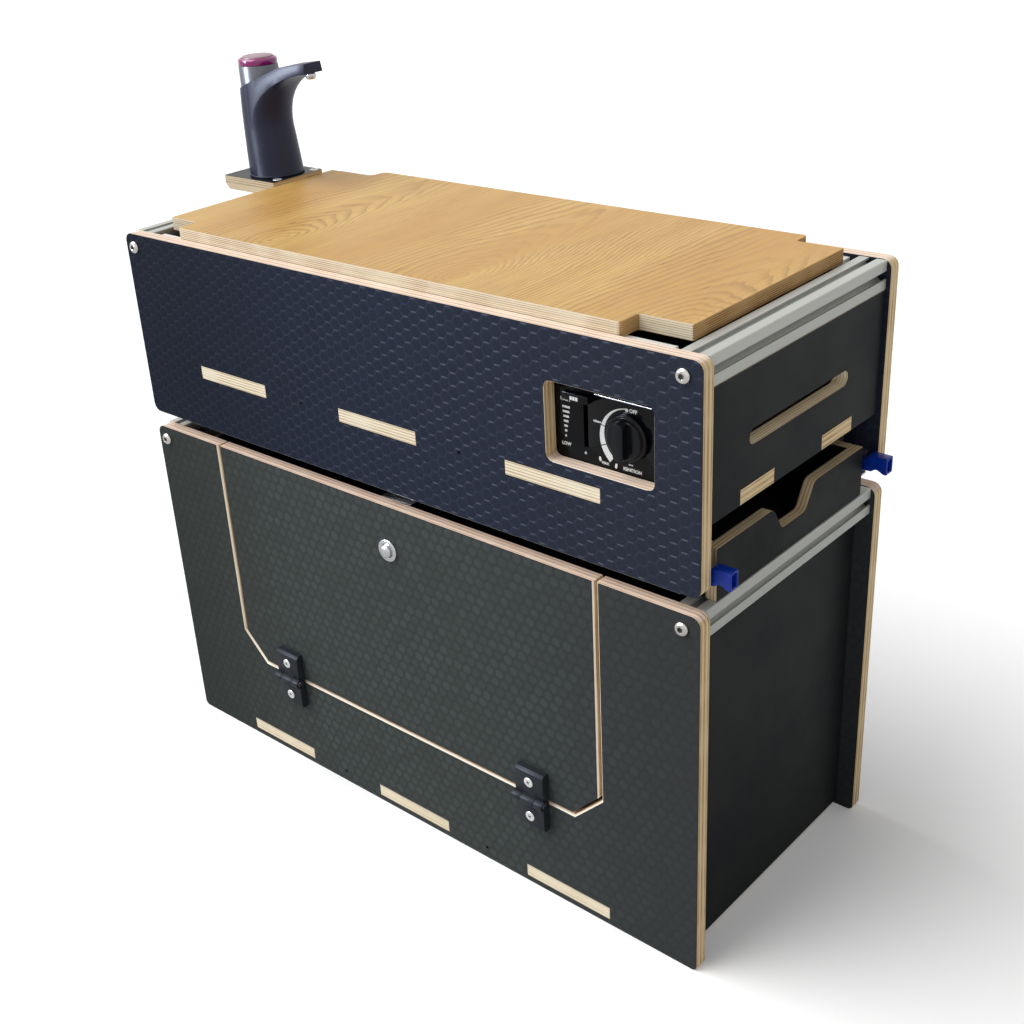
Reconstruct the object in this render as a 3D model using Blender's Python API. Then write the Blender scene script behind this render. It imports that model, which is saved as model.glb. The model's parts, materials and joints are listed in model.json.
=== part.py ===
# Campervan kitchen pod: a lower cupboard with a drop-down door, and an upper kitchen
# box with a cassette stove, tap and lift-off worktop, which slides out on locking rails.
# Metres, +Z up, +X along the pod to the end that the box slides out of, +Y to the back.
# The origin is on the floor at the middle of the front panel's foot.
import math

import bmesh
import bpy
from mathutils import Matrix, Vector

# Overall sizes
LENGTH = 0.8000
DEPTH = 0.3410
LOWER_HEIGHT = 0.4194
UNIT_GAP = 0.0200
UPPER_HEIGHT = 0.2250
PLY = 0.0160
FIT = 0.0003
CUT_OVERRUN = 0.0020
CORNER_RADIUS = 0.0100
FOOT_RADIUS = 0.0060
ARC_STEPS = 5
ROUND_SIDES = 24

# Aluminium bars across the tops, with a T-slot in each side
BAR = 0.0300
BAR_DROP = 0.0005
LEFT_BAR_INSET = 0.0010
RIGHT_BAR_INSET = 0.0045
BAR_SLOT = 0.0082
BAR_LIP = 0.0022
BAR_CAVITY = 0.0164
BAR_CAVITY_STEP = 0.0038
BAR_CAVITY_DEPTH = 0.0090
BAR_CAVITY_FLOOR = 0.0070
BAR_EDGE_RADIUS = 0.0015

# Bolts through the panels into the bars' ends
BOLT = 0.0080
BOLT_HEAD = 0.0148
BOLT_FLANGE = 0.0012
BOLT_DOME = 0.0116
BOLT_HEAD_HEIGHT = 0.0044
BOLT_DOME_SHARES = (0, 0.3, 0.6, 0.8)
BOLT_SOCKET = 0.0050
BOLT_SOCKET_DEPTH = 0.0026
BOLT_LENGTH = 0.0340
BOLT_SIDES = 20

# End panels and floor boards
END_INSET = 0.0045
LOWER_END_INSET = 0.0205
LOWER_FLOOR_RISE = 0.0068
UPPER_FLOOR_RISE = 0.0646
TAB_WIDTH = 0.1140
TAB_PITCH = 0.2336
END_TAB_WIDTH = 0.0576
END_TAB_PITCH = 0.1450
PILOT_HOLE = 0.0034
HANDLE_LENGTH = 0.1770
HANDLE_HEIGHT = 0.0160
HANDLE_DROP = 0.0683

# Window over the stove's controls
WINDOW_WIDTH = 0.1216
WINDOW_HEIGHT = 0.0800
WINDOW_RADIUS = 0.0070
WINDOW_END_MARGIN = 0.0496
WINDOW_RISE = 0.0936

# Drop-down door and its opening
DOOR_WIDTH = 0.5600
DOOR_GAP = 0.0030
DOOR_BOTTOM = 0.1285
DOOR_CHAMFER = 0.0350

# Door hinges
HINGE_SPREAD = 0.3880
LEAF_WIDTH = 0.0380
LEAF_REACH = 0.0370
LEAF_THICKNESS = 0.0100
LEAF_CHAMFER = 0.0030
LEAF_GAP = 0.0006
KNUCKLE_RADIUS = 0.0055
KNUCKLE_PROUD = 0.0110
KNUCKLE_LENGTH = 0.0420
KNUCKLE_MIDDLE = 0.0180
KNUCKLE_PLAY = 0.0004
KNUCKLE_GAP = 0.0006
PIN_RADIUS = 0.0025

# Push-button lock on the door
LOCK_DROP = 0.0538
BEZEL_RADIUS = 0.0132
BEZEL_PROUD = 0.0026
BEZEL_EDGE = 0.0014
BARREL_RADIUS = 0.0098
BUTTON_RADIUS = 0.0080
BUTTON_PROUD = 0.0050
BUTTON_LENGTH = 0.0150
BUTTON_DOME = 0.0012
BUTTON_PLAY = 0.0004
BUTTON_TRAVEL = 0.0050
CASE_WIDTH = 0.0340
CASE_ABOVE = 0.0340
CASE_BELOW = 0.0180
CASE_THICKNESS = 0.0125
CASE_RADIUS = 0.0030
TONGUE_WIDTH = 0.0150
TONGUE_THICKNESS = 0.0050
TONGUE_LENGTH = 0.0220
TONGUE_SHOW = 0.0010
TONGUE_PLAY = 0.0004
TONGUE_TRAVEL = 0.0080
KEEPER_WIDTH = 0.0440
KEEPER_SHEET = 0.0020
KEEPER_REACH = 0.0460
KEEPER_CLEARANCE = 0.0012
KEEPER_UNDERCUT = 0.0028

# Tray between the two units
TRAY_PLY = 0.0120
TRAY_FLOOR_PLY = 0.0090
TRAY_HEIGHT = 0.0540
TRAY_END_INSET = 0.0065
NOTCH_TOP = 0.0760
NOTCH_BOTTOM = 0.0440
NOTCH_DEPTH = 0.0268
NOTCH_RADIUS = 0.0100

# Locking slides either side of the tray: outer, middle and inner members
SLIDE_SPACE = 0.0200
SLIDE_HEIGHT = 0.0480
SLIDE_RISE = 0.0290
SLIDE_LENGTH = 0.7500
SLIDE_END_GAP = 0.0050
SLIDE_LEVER_ROOM = 0.0240
SLIDE_SHEET = 0.0022
OUTER_FLANGE = 0.0150
MIDDLE_WEB_OFFSET = 0.0045
INNER_FLANGE = 0.0115
BALL_SPACE = 0.0030
BALL_GAP = 0.0004
BALL_WIDTH = 0.0030
BALL_OFFSET = 0.0090
BOX_TRAVEL = 0.5500

# Release levers on the inner slide members
LEVER_OUT = 0.0300
LEVER_PIVOT_BACK = 0.0160
LEVER_SHANK = 0.0110
LEVER_THICKNESS = 0.0085
LEVER_PADDLE_THICKNESS = 0.0130
LEVER_WAIST = 0.0040
LEVER_TOP = 0.0150
LEVER_HOOK = 0.0100
LEVER_HOOK_WIDTH = 0.0120
LEVER_ARCH = 0.0020
LEVER_RADIUS = 0.0025
LEVER_PLAY = 0.0004

# Ledge strips inside the upper box
LEDGE_WIDTH = 0.0120
LEDGE_HEIGHT = 0.0120
LEDGE_DROP = 0.0030
LEDGE_END_GAP = 0.0090

# Lift-off worktop: it drops between the panels, with a narrower tongue at each end
TOP_PLY = 0.0150
TOP_PLAY = 0.0005
TOP_FRONT_STEP = 0.0265
TOP_BACK_STEP = 0.0225
TOP_LEFT_GAP = 0.0360
TOP_RIGHT_GAP = 0.0385
TOP_LEFT_FRONT_WING = 0.0460
TOP_LEFT_BACK_WING = 0.0730
TOP_RIGHT_FRONT_WING = 0.0570
TOP_RIGHT_BACK_WING = 0.0520
TOP_OUTER_RADIUS = 0.0050
TOP_INNER_RADIUS = 0.0035
TOP_EASY_RADIUS = 0.0100
TOP_CORNER_RADIUS = 0.0020

# Tap shelf
ARM_THICKNESS = 0.0080
ARM_TAPER = 0.0080
SHELF_PLATE_THICKNESS = 0.0086
SHELF_LENGTH = 0.0970
SHELF_DEPTH = 0.0830
SHELF_Y = 0.2445
SHELF_RADIUS = 0.0020

# Tap: its body leans away from the spout as it tapers
TAP_AXIS_OUT = 0.0045
TAP_HEIGHT = 0.1345
TAP_LEAN = 0.0880
TAP_BASE_RADIUS = 0.0345
TAP_FOOT_STEP = 0.0020
TAP_WAIST_RADIUS = 0.0308
TAP_SHOULDER_RADIUS = 0.0294
TAP_NECK_RADIUS = 0.0250
TAP_TOP_RADIUS = 0.0243
TAP_WAIST_SHARE = 0.64
TAP_SHOULDER_SHARE = 0.86
TAP_SHOULDER_STEP = 0.0012
TAP_CUP_DEPTH = 0.0060
TAP_RING_HEIGHT = 0.0080
TAP_RING_BEVEL = 0.0022
TAP_BUTTON_RADIUS = 0.0198
TAP_BUTTON_PROUD = 0.0020
TAP_BUTTON_TRAVEL = 0.0015
TAP_BUTTON_PLAY = 0.0004
TAP_SIDES = 32
SPOUT_REACH = 0.0900
SPOUT_ROOT_TOP = 0.1228
SPOUT_ROOT_BOTTOM = 0.0500
SPOUT_TIP_TOP = 0.1416
SPOUT_TIP_BOTTOM = 0.1293
SPOUT_ROOT_WIDTH = 0.0560
SPOUT_TIP_WIDTH = 0.0280
SPOUT_KEEL_SHARE = 0.70
SPOUT_SQUARE_SHARE = 0.60
SPOUT_FALL_SHARE = 1.70
SPOUT_STATIONS = 9
SPOUT_SIDES = 16
NOZZLE_SET_BACK = 0.0085
NOZZLE_RADIUS = 0.0062
NOZZLE_TIP_RADIUS = 0.0052
NOZZLE_LENGTH = 0.0065
NOZZLE_BORE = 0.0030
NOZZLE_DROP = 0.0010
INLET_RADIUS = 0.0042
INLET_BARB = 0.0007
INLET_LENGTH = 0.0220

# Cassette stove
STOVE_WIDTH = 0.3400
STOVE_DEPTH = 0.2850
STOVE_HEIGHT = 0.0836
STOVE_END_GAP = 0.0008
STOVE_FRONT_GAP = 0.0006
STOVE_RADIUS = 0.0060
STOVE_SHEET = 0.0020
BOWL_RADIUS = 0.0950
BOWL_DEPTH = 0.0120
BOWL_SLOPE = 0.0080
BOWL_FROM_LEFT = 0.1220
BURNER_RADIUS = 0.0330
BURNER_STEM = 0.0160
BURNER_BASE = 0.0080
BURNER_CROWN = 0.0070
BURNER_RIM = 0.0030
TRIVET_SEAT = 0.0110
TRIVET_RING = 0.0060
TRIVET_RING_HEIGHT = 0.0050
TRIVET_HEIGHT = 0.0180
TRIVET_ARM = 0.0040
TRIVET_ARM_DEPTH = 0.0060
TRIVET_ARM_REACH = 0.0620
TRIVET_ARMS = 6
KNOB_FROM_WINDOW = 0.0214
KNOB_DROP = 0.0034
KNOB_RADIUS = 0.0215
KNOB_SKIRT = 0.0040
KNOB_DOME_RADIUS = 0.0195
KNOB_DOME = 0.0080
KNOB_HEIGHT = 0.0160
KNOB_GRIP = 0.0130
KNOB_GRIP_LENGTH = 0.0370
KNOB_SHAFT = 0.0040
KNOB_SHAFT_LENGTH = 0.0120
KNOB_PLAY = 0.0004
KNOB_SIDES = 32
SLIDER_FROM_WINDOW = 0.0258
SLIDER_RISE = 0.0260
SLIDER_TRAVEL = 0.0480
SLIDER_STEM = 0.0040
SLIDER_HANDLE_LENGTH = 0.0300
SLIDER_HANDLE_SHIFT = 0.0050
SLIDER_HANDLE_HEIGHT = 0.0075
SLIDER_HANDLE_DEPTH = 0.0090
SLIDER_SINK = 0.0080
SLIDER_PLAY = 0.0005

# Derived places
front = -PLY / 2
front_inner = front + PLY
back = front + DEPTH
back_inner = back - PLY
middle_y = (front + back) / 2
left = -LENGTH / 2
right = LENGTH / 2
upper_bottom = LOWER_HEIGHT + UNIT_GAP
upper_top = upper_bottom + UPPER_HEIGHT
upper_floor = upper_bottom + UPPER_FLOOR_RISE
end_out = right - END_INSET
end_in = end_out - PLY
lower_end_out = right - LOWER_END_INSET
lower_end_in = lower_end_out - PLY
bars_x = {"left": left + LEFT_BAR_INSET + BAR / 2, "right": right - RIGHT_BAR_INSET - BAR / 2}
bar_centre_drop = BAR_DROP + BAR / 2
bar_bottom_drop = BAR_DROP + BAR
tray_bottom = LOWER_HEIGHT - BAR_DROP + FIT
tray_front = front_inner + SLIDE_SPACE
tray_back = back_inner - SLIDE_SPACE
tray_end = right - TRAY_END_INSET
slide_z = tray_bottom + SLIDE_RISE
slide_right = tray_end - SLIDE_END_GAP
slide_left = slide_right - SLIDE_LENGTH
hinge_y = front - KNUCKLE_PROUD
hinge_z = DOOR_BOTTOM - DOOR_GAP / 2
lock_z = LOWER_HEIGHT - LOCK_DROP
case_y = front_inner + FIT
tongue_y = case_y + CASE_THICKNESS / 2
tongue_top = lock_z + CASE_ABOVE + TONGUE_SHOW
lever_x = slide_right - LEVER_PIVOT_BACK
arm_bottom = upper_top - BAR_DROP + FIT
shelf_bottom = arm_bottom + ARM_THICKNESS + FIT
shelf_right = left + TOP_LEFT_GAP - FIT
shelf_left = shelf_right - SHELF_LENGTH
shelf_y = front + SHELF_Y
tap_x = left - TAP_AXIS_OUT
tap_z = shelf_bottom + SHELF_PLATE_THICKNESS + FIT
tap_top_x = tap_x - TAP_LEAN * TAP_HEIGHT
nozzle_x = tap_x + SPOUT_REACH - NOZZLE_SET_BACK
stove_bottom = upper_floor + PLY + FIT
stove_top = stove_bottom + STOVE_HEIGHT
stove_right = end_in - STOVE_END_GAP
stove_left = stove_right - STOVE_WIDTH
stove_front = front_inner + STOVE_FRONT_GAP
burner_x = stove_left + BOWL_FROM_LEFT
burner_y = stove_front + STOVE_DEPTH / 2
window_x = right - WINDOW_END_MARGIN - WINDOW_WIDTH / 2
window_z = upper_bottom + WINDOW_RISE + WINDOW_HEIGHT / 2
knob_x = window_x + KNOB_FROM_WINDOW
knob_z = window_z - KNOB_DROP
slider_x = window_x - SLIDER_FROM_WINDOW
slider_z = window_z + SLIDER_RISE


# Materials
def finish(name, colour, roughness, metallic=0.0):
    material = bpy.data.materials.new(name)
    material.use_nodes = True
    shader = material.node_tree.nodes["Principled BSDF"]
    shader.inputs["Base Color"].default_value = (*colour, 1.0)
    shader.inputs["Roughness"].default_value = roughness
    shader.inputs["Metallic"].default_value = metallic
    return material


# Outlines: closed lists of points, with arcs at the rounded corners
def fillet(corners):
    """Turns (u, v, radius) corners into points, each corner rounded by its own radius."""
    points = []
    for n, (u, v, radius) in enumerate(corners):
        here = Vector((u, v))
        if radius <= 0:
            points.append((u, v))
            continue
        before = (Vector(corners[n - 1][:2]) - here).normalized()
        after = (Vector(corners[(n + 1) % len(corners)][:2]) - here).normalized()
        half = before.angle(after) / 2
        centre = here + (before + after).normalized() * (radius / math.sin(half))
        start = here + before * (radius / math.tan(half)) - centre
        stop = here + after * (radius / math.tan(half)) - centre
        first = math.atan2(start.y, start.x)
        turn = math.remainder(math.atan2(stop.y, stop.x) - first, math.tau)
        for step in range(ARC_STEPS + 1):
            angle = first + turn * step / ARC_STEPS
            points.append((centre.x + radius * math.cos(angle), centre.y + radius * math.sin(angle)))
    return points


def rectangle(u0, u1, v0, v1, radius=0.0):
    return fillet([(u0, v0, radius), (u1, v0, radius), (u1, v1, radius), (u0, v1, radius)])


def circle(u, v, radius, sides=ROUND_SIDES):
    turn = math.tau / sides
    return [(u + radius * math.cos(turn * n), v + radius * math.sin(turn * n)) for n in range(sides)]


# Solids
sheet_axes = {
    "X": Matrix(((0, 0, 1, 0), (1, 0, 0, 0), (0, 1, 0, 0), (0, 0, 0, 1))),
    "Y": Matrix(((1, 0, 0, 0), (0, 0, 1, 0), (0, 1, 0, 0), (0, 0, 0, 1))),
    "Z": Matrix.Identity(4),
}
turned_axes = {
    "X": Matrix.Rotation(math.pi / 2, 4, "Y"),
    "Y": Matrix.Rotation(math.pi / 2, 4, "X"),
    "Z": Matrix.Identity(4),
}


def store(name, shape, material):
    """Keeps a bmesh as an object, with its faces pointing out."""
    bmesh.ops.remove_doubles(shape, verts=shape.verts, dist=FIT / 100)
    bmesh.ops.recalc_face_normals(shape, faces=shape.faces)
    mesh = bpy.data.meshes.new(name)
    shape.to_mesh(mesh)
    shape.free()
    mesh.materials.append(material)
    piece = bpy.data.objects.new(name, mesh)
    bpy.context.collection.objects.link(piece)
    return piece


def board(name, material, axis, start, thickness, outline, holes=()):
    """Cuts an outline with holes from a sheet square to an axis.

    Points are (Y, Z) on a sheet across X, (X, Z) across Y and (X, Y) across Z.
    """
    shape = bmesh.new()
    edges = []
    for loop in (outline, *holes):
        verts = [shape.verts.new((u, v, 0.0)) for u, v in loop]
        edges += [shape.edges.new((verts[n - 1], verts[n])) for n in range(len(verts))]
    bmesh.ops.triangle_fill(shape, use_beauty=True, edges=edges)
    grown = bmesh.ops.extrude_face_region(shape, geom=shape.faces[:])["geom"]
    moved = [item for item in grown if isinstance(item, bmesh.types.BMVert)]
    bmesh.ops.translate(shape, verts=moved, vec=(0, 0, thickness))
    bmesh.ops.translate(shape, verts=shape.verts, vec=(0, 0, start))
    bmesh.ops.transform(shape, matrix=sheet_axes[axis], verts=shape.verts)
    return store(name, shape, material)


def turned(name, material, profile, place, axis="Z", sides=ROUND_SIDES):
    """Spins an (r, height) profile about an axis through a place.

    Height runs along +X, -Y or +Z. A profile that stays off the axis makes a ring.
    """
    shape = bmesh.new()
    verts = [shape.verts.new((radius, 0, height)) for radius, height in profile]
    edges = [shape.edges.new(pair) for pair in zip(verts, verts[1:])]
    if profile[0][0] > 0:
        edges.append(shape.edges.new((verts[-1], verts[0])))
    bmesh.ops.spin(shape, geom=verts + edges, cent=(0, 0, 0), axis=(0, 0, 1),
                   angle=math.tau, steps=sides, use_merge=True, use_duplicate=False)
    bmesh.ops.transform(shape, matrix=Matrix.Translation(place) @ turned_axes[axis], verts=shape.verts)
    return shade(store(name, shape, material))


def shade(piece, degrees=30):
    piece.data.shade_smooth()
    piece.data.set_sharp_from_angle(angle=math.radians(degrees))
    return piece


def box(name, material, x0, x1, y0, y1, z0, z1):
    return board(name, material, "Z", z0, z1 - z0, rectangle(x0, x1, y0, y1))


def combine(piece, tool, operation="DIFFERENCE"):
    """Cuts a tool out of a piece, or joins it on, and removes the tool."""
    change = piece.modifiers.new(operation.title(), "BOOLEAN")
    change.operation = operation
    change.solver = "EXACT"
    change.object = tool
    graph = bpy.context.evaluated_depsgraph_get()
    result = bpy.data.meshes.new_from_object(piece.evaluated_get(graph))
    piece.modifiers.clear()
    piece.data = result
    bpy.data.objects.remove(tool)
    return piece


def on_axis(piece, pivot):
    """Puts a moving piece's origin on its joint's axis, with its shape where it was."""
    piece.data.transform(Matrix.Translation(-Vector(pivot)))
    piece.location = pivot
    return piece


# Panels and floor boards
def tab_slots(floor_z):
    half = TAB_WIDTH / 2 + FIT
    return [rectangle(place * TAB_PITCH - half, place * TAB_PITCH + half, floor_z - FIT, floor_z + PLY + FIT)
            for place in (-1, 0, 1)]


def pilot_holes(floor_z):
    return [circle(side * TAB_PITCH / 2, floor_z + PLY / 2, PILOT_HOLE / 2, ROUND_SIDES // 3)
            for side in (-1, 1)]


def bolt_holes(top):
    return [circle(x, top - bar_centre_drop, BOLT / 2 + FIT) for x in bars_x.values()]


def door_outline(grow):
    """The door's lower edge with its two chamfers, grown by a gap, from left to right."""
    half = DOOR_WIDTH / 2 + grow
    low = DOOR_BOTTOM - grow
    chamfer = DOOR_CHAMFER + grow * math.tan(math.pi / 8)
    return [(-half, low + chamfer), (chamfer - half, low), (half - chamfer, low), (half, low + chamfer)]


def lower_front_panel(material):
    """U-shaped panel: the door's opening runs out through its top edge."""
    cut = door_outline(DOOR_GAP)
    corners = [(left, 0, FOOT_RADIUS), (right, 0, FOOT_RADIUS), (right, LOWER_HEIGHT, CORNER_RADIUS)]
    corners += [(cut[-1][0], LOWER_HEIGHT, 0), *((u, v, 0) for u, v in reversed(cut)), (cut[0][0], LOWER_HEIGHT, 0)]
    corners += [(left, LOWER_HEIGHT, CORNER_RADIUS)]
    holes = [*tab_slots(LOWER_FLOOR_RISE), *pilot_holes(LOWER_FLOOR_RISE), *bolt_holes(LOWER_HEIGHT)]
    board("lower_front_panel", material, "Y", front, PLY, fillet(corners), holes)


def long_panel(name, material, face_y, bottom, top, floor_z, low_radius, openings=()):
    outline = fillet([(left, bottom, low_radius), (right, bottom, low_radius), (right, top, CORNER_RADIUS),
                      (left, top, CORNER_RADIUS)])
    holes = [*tab_slots(floor_z), *bolt_holes(top), *openings]
    board(name, material, "Y", face_y, PLY, outline, holes)


def lower_end_panel(name, material, x):
    high = LOWER_HEIGHT - bar_bottom_drop - FIT
    outline = rectangle(front_inner + FIT, back_inner - FIT, LOWER_FLOOR_RISE, high)
    board(name, material, "X", x, PLY, outline)


def upper_end_panel(name, material, x):
    """End panel with a hand slot, notched at its foot for the floor board's end tabs."""
    high = upper_top - bar_bottom_drop - FIT
    outline = [(front_inner + FIT, high), (front_inner + FIT, upper_floor)]
    for side in (-1, 1):
        centre = middle_y + side * END_TAB_PITCH / 2
        half = END_TAB_WIDTH / 2 + FIT
        outline += [(centre - half, upper_floor), (centre - half, upper_floor + PLY + FIT),
                    (centre + half, upper_floor + PLY + FIT), (centre + half, upper_floor)]
    outline += [(back_inner - FIT, upper_floor), (back_inner - FIT, high)]
    slot_z = high - HANDLE_DROP
    slot = rectangle(middle_y - HANDLE_LENGTH / 2, middle_y + HANDLE_LENGTH / 2,
                     slot_z - HANDLE_HEIGHT / 2, slot_z + HANDLE_HEIGHT / 2, HANDLE_HEIGHT / 2 - FIT)
    board(name, material, "X", x, PLY, outline, [slot])


def floor_board(name, material, z, end, end_tab=0.0):
    """Floor board with three tabs into each long panel, and two at each end if asked."""
    near, far = front_inner + FIT, back_inner - FIT
    outline = []
    for place in (-1, 0, 1):
        x = place * TAB_PITCH
        outline += [(x - TAB_WIDTH / 2, near), (x - TAB_WIDTH / 2, front), (x + TAB_WIDTH / 2, front),
                    (x + TAB_WIDTH / 2, near)]
    right_edge = [(end, near)]
    if end_tab:
        for side in (-1, 1):
            y = middle_y + side * END_TAB_PITCH / 2
            right_edge += [(end, y - END_TAB_WIDTH / 2), (end_tab, y - END_TAB_WIDTH / 2),
                           (end_tab, y + END_TAB_WIDTH / 2), (end, y + END_TAB_WIDTH / 2)]
    right_edge.append((end, far))
    back_edge = [(x, near + far - y) for x, y in reversed(outline)]
    left_edge = [(-x, y) for x, y in reversed(right_edge)]
    board(name, material, "Z", z, PLY, [*outline, *right_edge, *back_edge, *left_edge])


def make_panels(dark_hex, green_hex, smooth_black):
    lower_front_panel(green_hex)
    long_panel("lower_back_panel", green_hex, back_inner, 0.0, LOWER_HEIGHT, LOWER_FLOOR_RISE, FOOT_RADIUS)
    window = rectangle(window_x - WINDOW_WIDTH / 2, window_x + WINDOW_WIDTH / 2,
                       window_z - WINDOW_HEIGHT / 2, window_z + WINDOW_HEIGHT / 2, WINDOW_RADIUS)
    long_panel("upper_front_panel", dark_hex, front, upper_bottom, upper_top, upper_floor, CORNER_RADIUS,
               [window, *pilot_holes(upper_floor)])
    long_panel("upper_back_panel", dark_hex, back_inner, upper_bottom, upper_top, upper_floor, CORNER_RADIUS)
    lower_end_panel("lower_left_end_panel", smooth_black, -lower_end_out)
    lower_end_panel("lower_right_end_panel", smooth_black, lower_end_in)
    upper_end_panel("upper_left_end_panel", smooth_black, -end_out)
    upper_end_panel("upper_right_end_panel", smooth_black, end_in)
    floor_board("lower_floor_board", smooth_black, LOWER_FLOOR_RISE, lower_end_in - FIT)
    floor_board("upper_floor_board", smooth_black, upper_floor, end_in - FIT, end_out)


# Aluminium bars and their bolts
def bar_outline(x, z):
    """Square section with a rounded edge and a T-slot in the middle of each side."""
    half, mouth, wide, floor = BAR / 2, BAR_SLOT / 2, BAR_CAVITY / 2, BAR_CAVITY_FLOOR / 2
    lip, step, deep = half - BAR_LIP, half - BAR_CAVITY_STEP, half - BAR_CAVITY_DEPTH
    slot = [(half, -mouth), (lip, -mouth), (lip, -wide), (step, -wide), (deep, -floor)]
    slot += [(u, -v) for u, v in reversed(slot)]
    corners = []
    for side in range(4):
        turn = Matrix.Rotation(side * math.pi / 2, 2)
        corners += [(*(turn @ Vector(point)), 0) for point in slot]
        corners.append((*(turn @ Vector((half, half))), BAR_EDGE_RADIUS))
    return [(x + u, z + v) for u, v in fillet(corners)]


def make_bars(aluminium):
    for unit, top in (("lower", LOWER_HEIGHT), ("upper", upper_top)):
        for side, x in bars_x.items():
            z = top - bar_centre_drop
            start = front_inner + FIT
            bore = circle(x, z, BOLT / 2 + FIT)
            board(f"{unit}_{side}_bar", aluminium, "Y", start, back_inner - FIT - start, bar_outline(x, z), [bore])


def make_bolts(steel):
    """Flanged button-head bolts with a hexagon socket, front and back."""
    dome = [(BOLT_DOME / 2 * math.cos(angle),
             BOLT_FLANGE + (BOLT_HEAD_HEIGHT - BOLT_FLANGE) * math.sin(angle))
            for angle in (math.pi / 2 * share for share in BOLT_DOME_SHARES)]
    profile = [(0, -BOLT_LENGTH), (BOLT / 2, -BOLT_LENGTH), (BOLT / 2, FIT), (BOLT_HEAD / 2, FIT),
               (BOLT_HEAD / 2, BOLT_FLANGE), *dome, (0, BOLT_HEAD_HEIGHT)]
    model = turned("bolt", steel, profile, (0, 0, 0), "Y", BOLT_SIDES)
    socket_start = -BOLT_HEAD_HEIGHT - CUT_OVERRUN
    across = BOLT_SOCKET / math.cos(math.pi / 6) / 2
    socket = board("socket", steel, "Y", socket_start, BOLT_SOCKET_DEPTH + CUT_OVERRUN, circle(0, 0, across, 6))
    combine(model, socket)
    for unit, top in (("lower", LOWER_HEIGHT), ("upper", upper_top)):
        for side, x in bars_x.items():
            for face, y, turn in (("front", front, 0), ("back", back, math.pi)):
                bolt = bpy.data.objects.new(f"{unit}_{face}_{side}_bolt", model.data)
                bolt.location = (x, y, top - bar_centre_drop)
                bolt.rotation_euler.z = turn
                bpy.context.collection.objects.link(bolt)
    bpy.data.objects.remove(model)


# Door, hinges and lock
def make_door(material):
    outline = [(-DOOR_WIDTH / 2, LOWER_HEIGHT), *door_outline(0.0), (DOOR_WIDTH / 2, LOWER_HEIGHT)]
    lock_hole = circle(0, lock_z, BARREL_RADIUS + FIT)
    door = board("door_panel", material, "Y", front, PLY, outline, [lock_hole])
    on_axis(door, (0, hinge_y, hinge_z))


def knuckle(material, x, length, radius):
    return board("knuckle", material, "X", x - length / 2, length, circle(hinge_y, hinge_z, radius))


def hinge_leaf(name, material, x, way, own, other):
    """One leaf of a hinge, above (+1) or below (-1) its pin, with the knuckles that it owns."""
    near = hinge_z + way * LEAF_GAP
    far = hinge_z + way * LEAF_REACH
    face = front - LEAF_THICKNESS
    profile = [(front - FIT, near), (front - FIT, far), (face + LEAF_CHAMFER, far),
               (face, far - way * LEAF_CHAMFER), (face, near)]
    leaf = board(name, material, "X", x - LEAF_WIDTH / 2, LEAF_WIDTH, profile)
    for offset, length in own:
        combine(leaf, knuckle(material, x + offset, length, KNUCKLE_RADIUS), "UNION")
    for offset, length in other:
        combine(leaf, knuckle(material, x + offset, length + KNUCKLE_GAP, KNUCKLE_RADIUS + KNUCKLE_PLAY))
    combine(leaf, knuckle(material, x, KNUCKLE_LENGTH + CUT_OVERRUN, PIN_RADIUS + FIT))
    return shade(leaf)


def make_hinges(plastic, steel):
    side_length = (KNUCKLE_LENGTH - KNUCKLE_MIDDLE) / 2 - KNUCKLE_GAP
    side_offset = (KNUCKLE_LENGTH - side_length) / 2
    sides = [(-side_offset, side_length), (side_offset, side_length)]
    middle = [(0, KNUCKLE_MIDDLE)]
    for name, x in (("left", -HINGE_SPREAD / 2), ("right", HINGE_SPREAD / 2)):
        moving = hinge_leaf(f"{name}_hinge_door_leaf", plastic, x, 1, middle, sides)
        on_axis(moving, (x, hinge_y, hinge_z))
        hinge_leaf(f"{name}_hinge_body_leaf", plastic, x, -1, sides, middle)
        half = KNUCKLE_LENGTH / 2
        pin = [(0, -half), (PIN_RADIUS, -half), (PIN_RADIUS, half), (0, half)]
        turned(f"{name}_hinge_pin", steel, pin, (x, hinge_y, hinge_z), "X")


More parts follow.
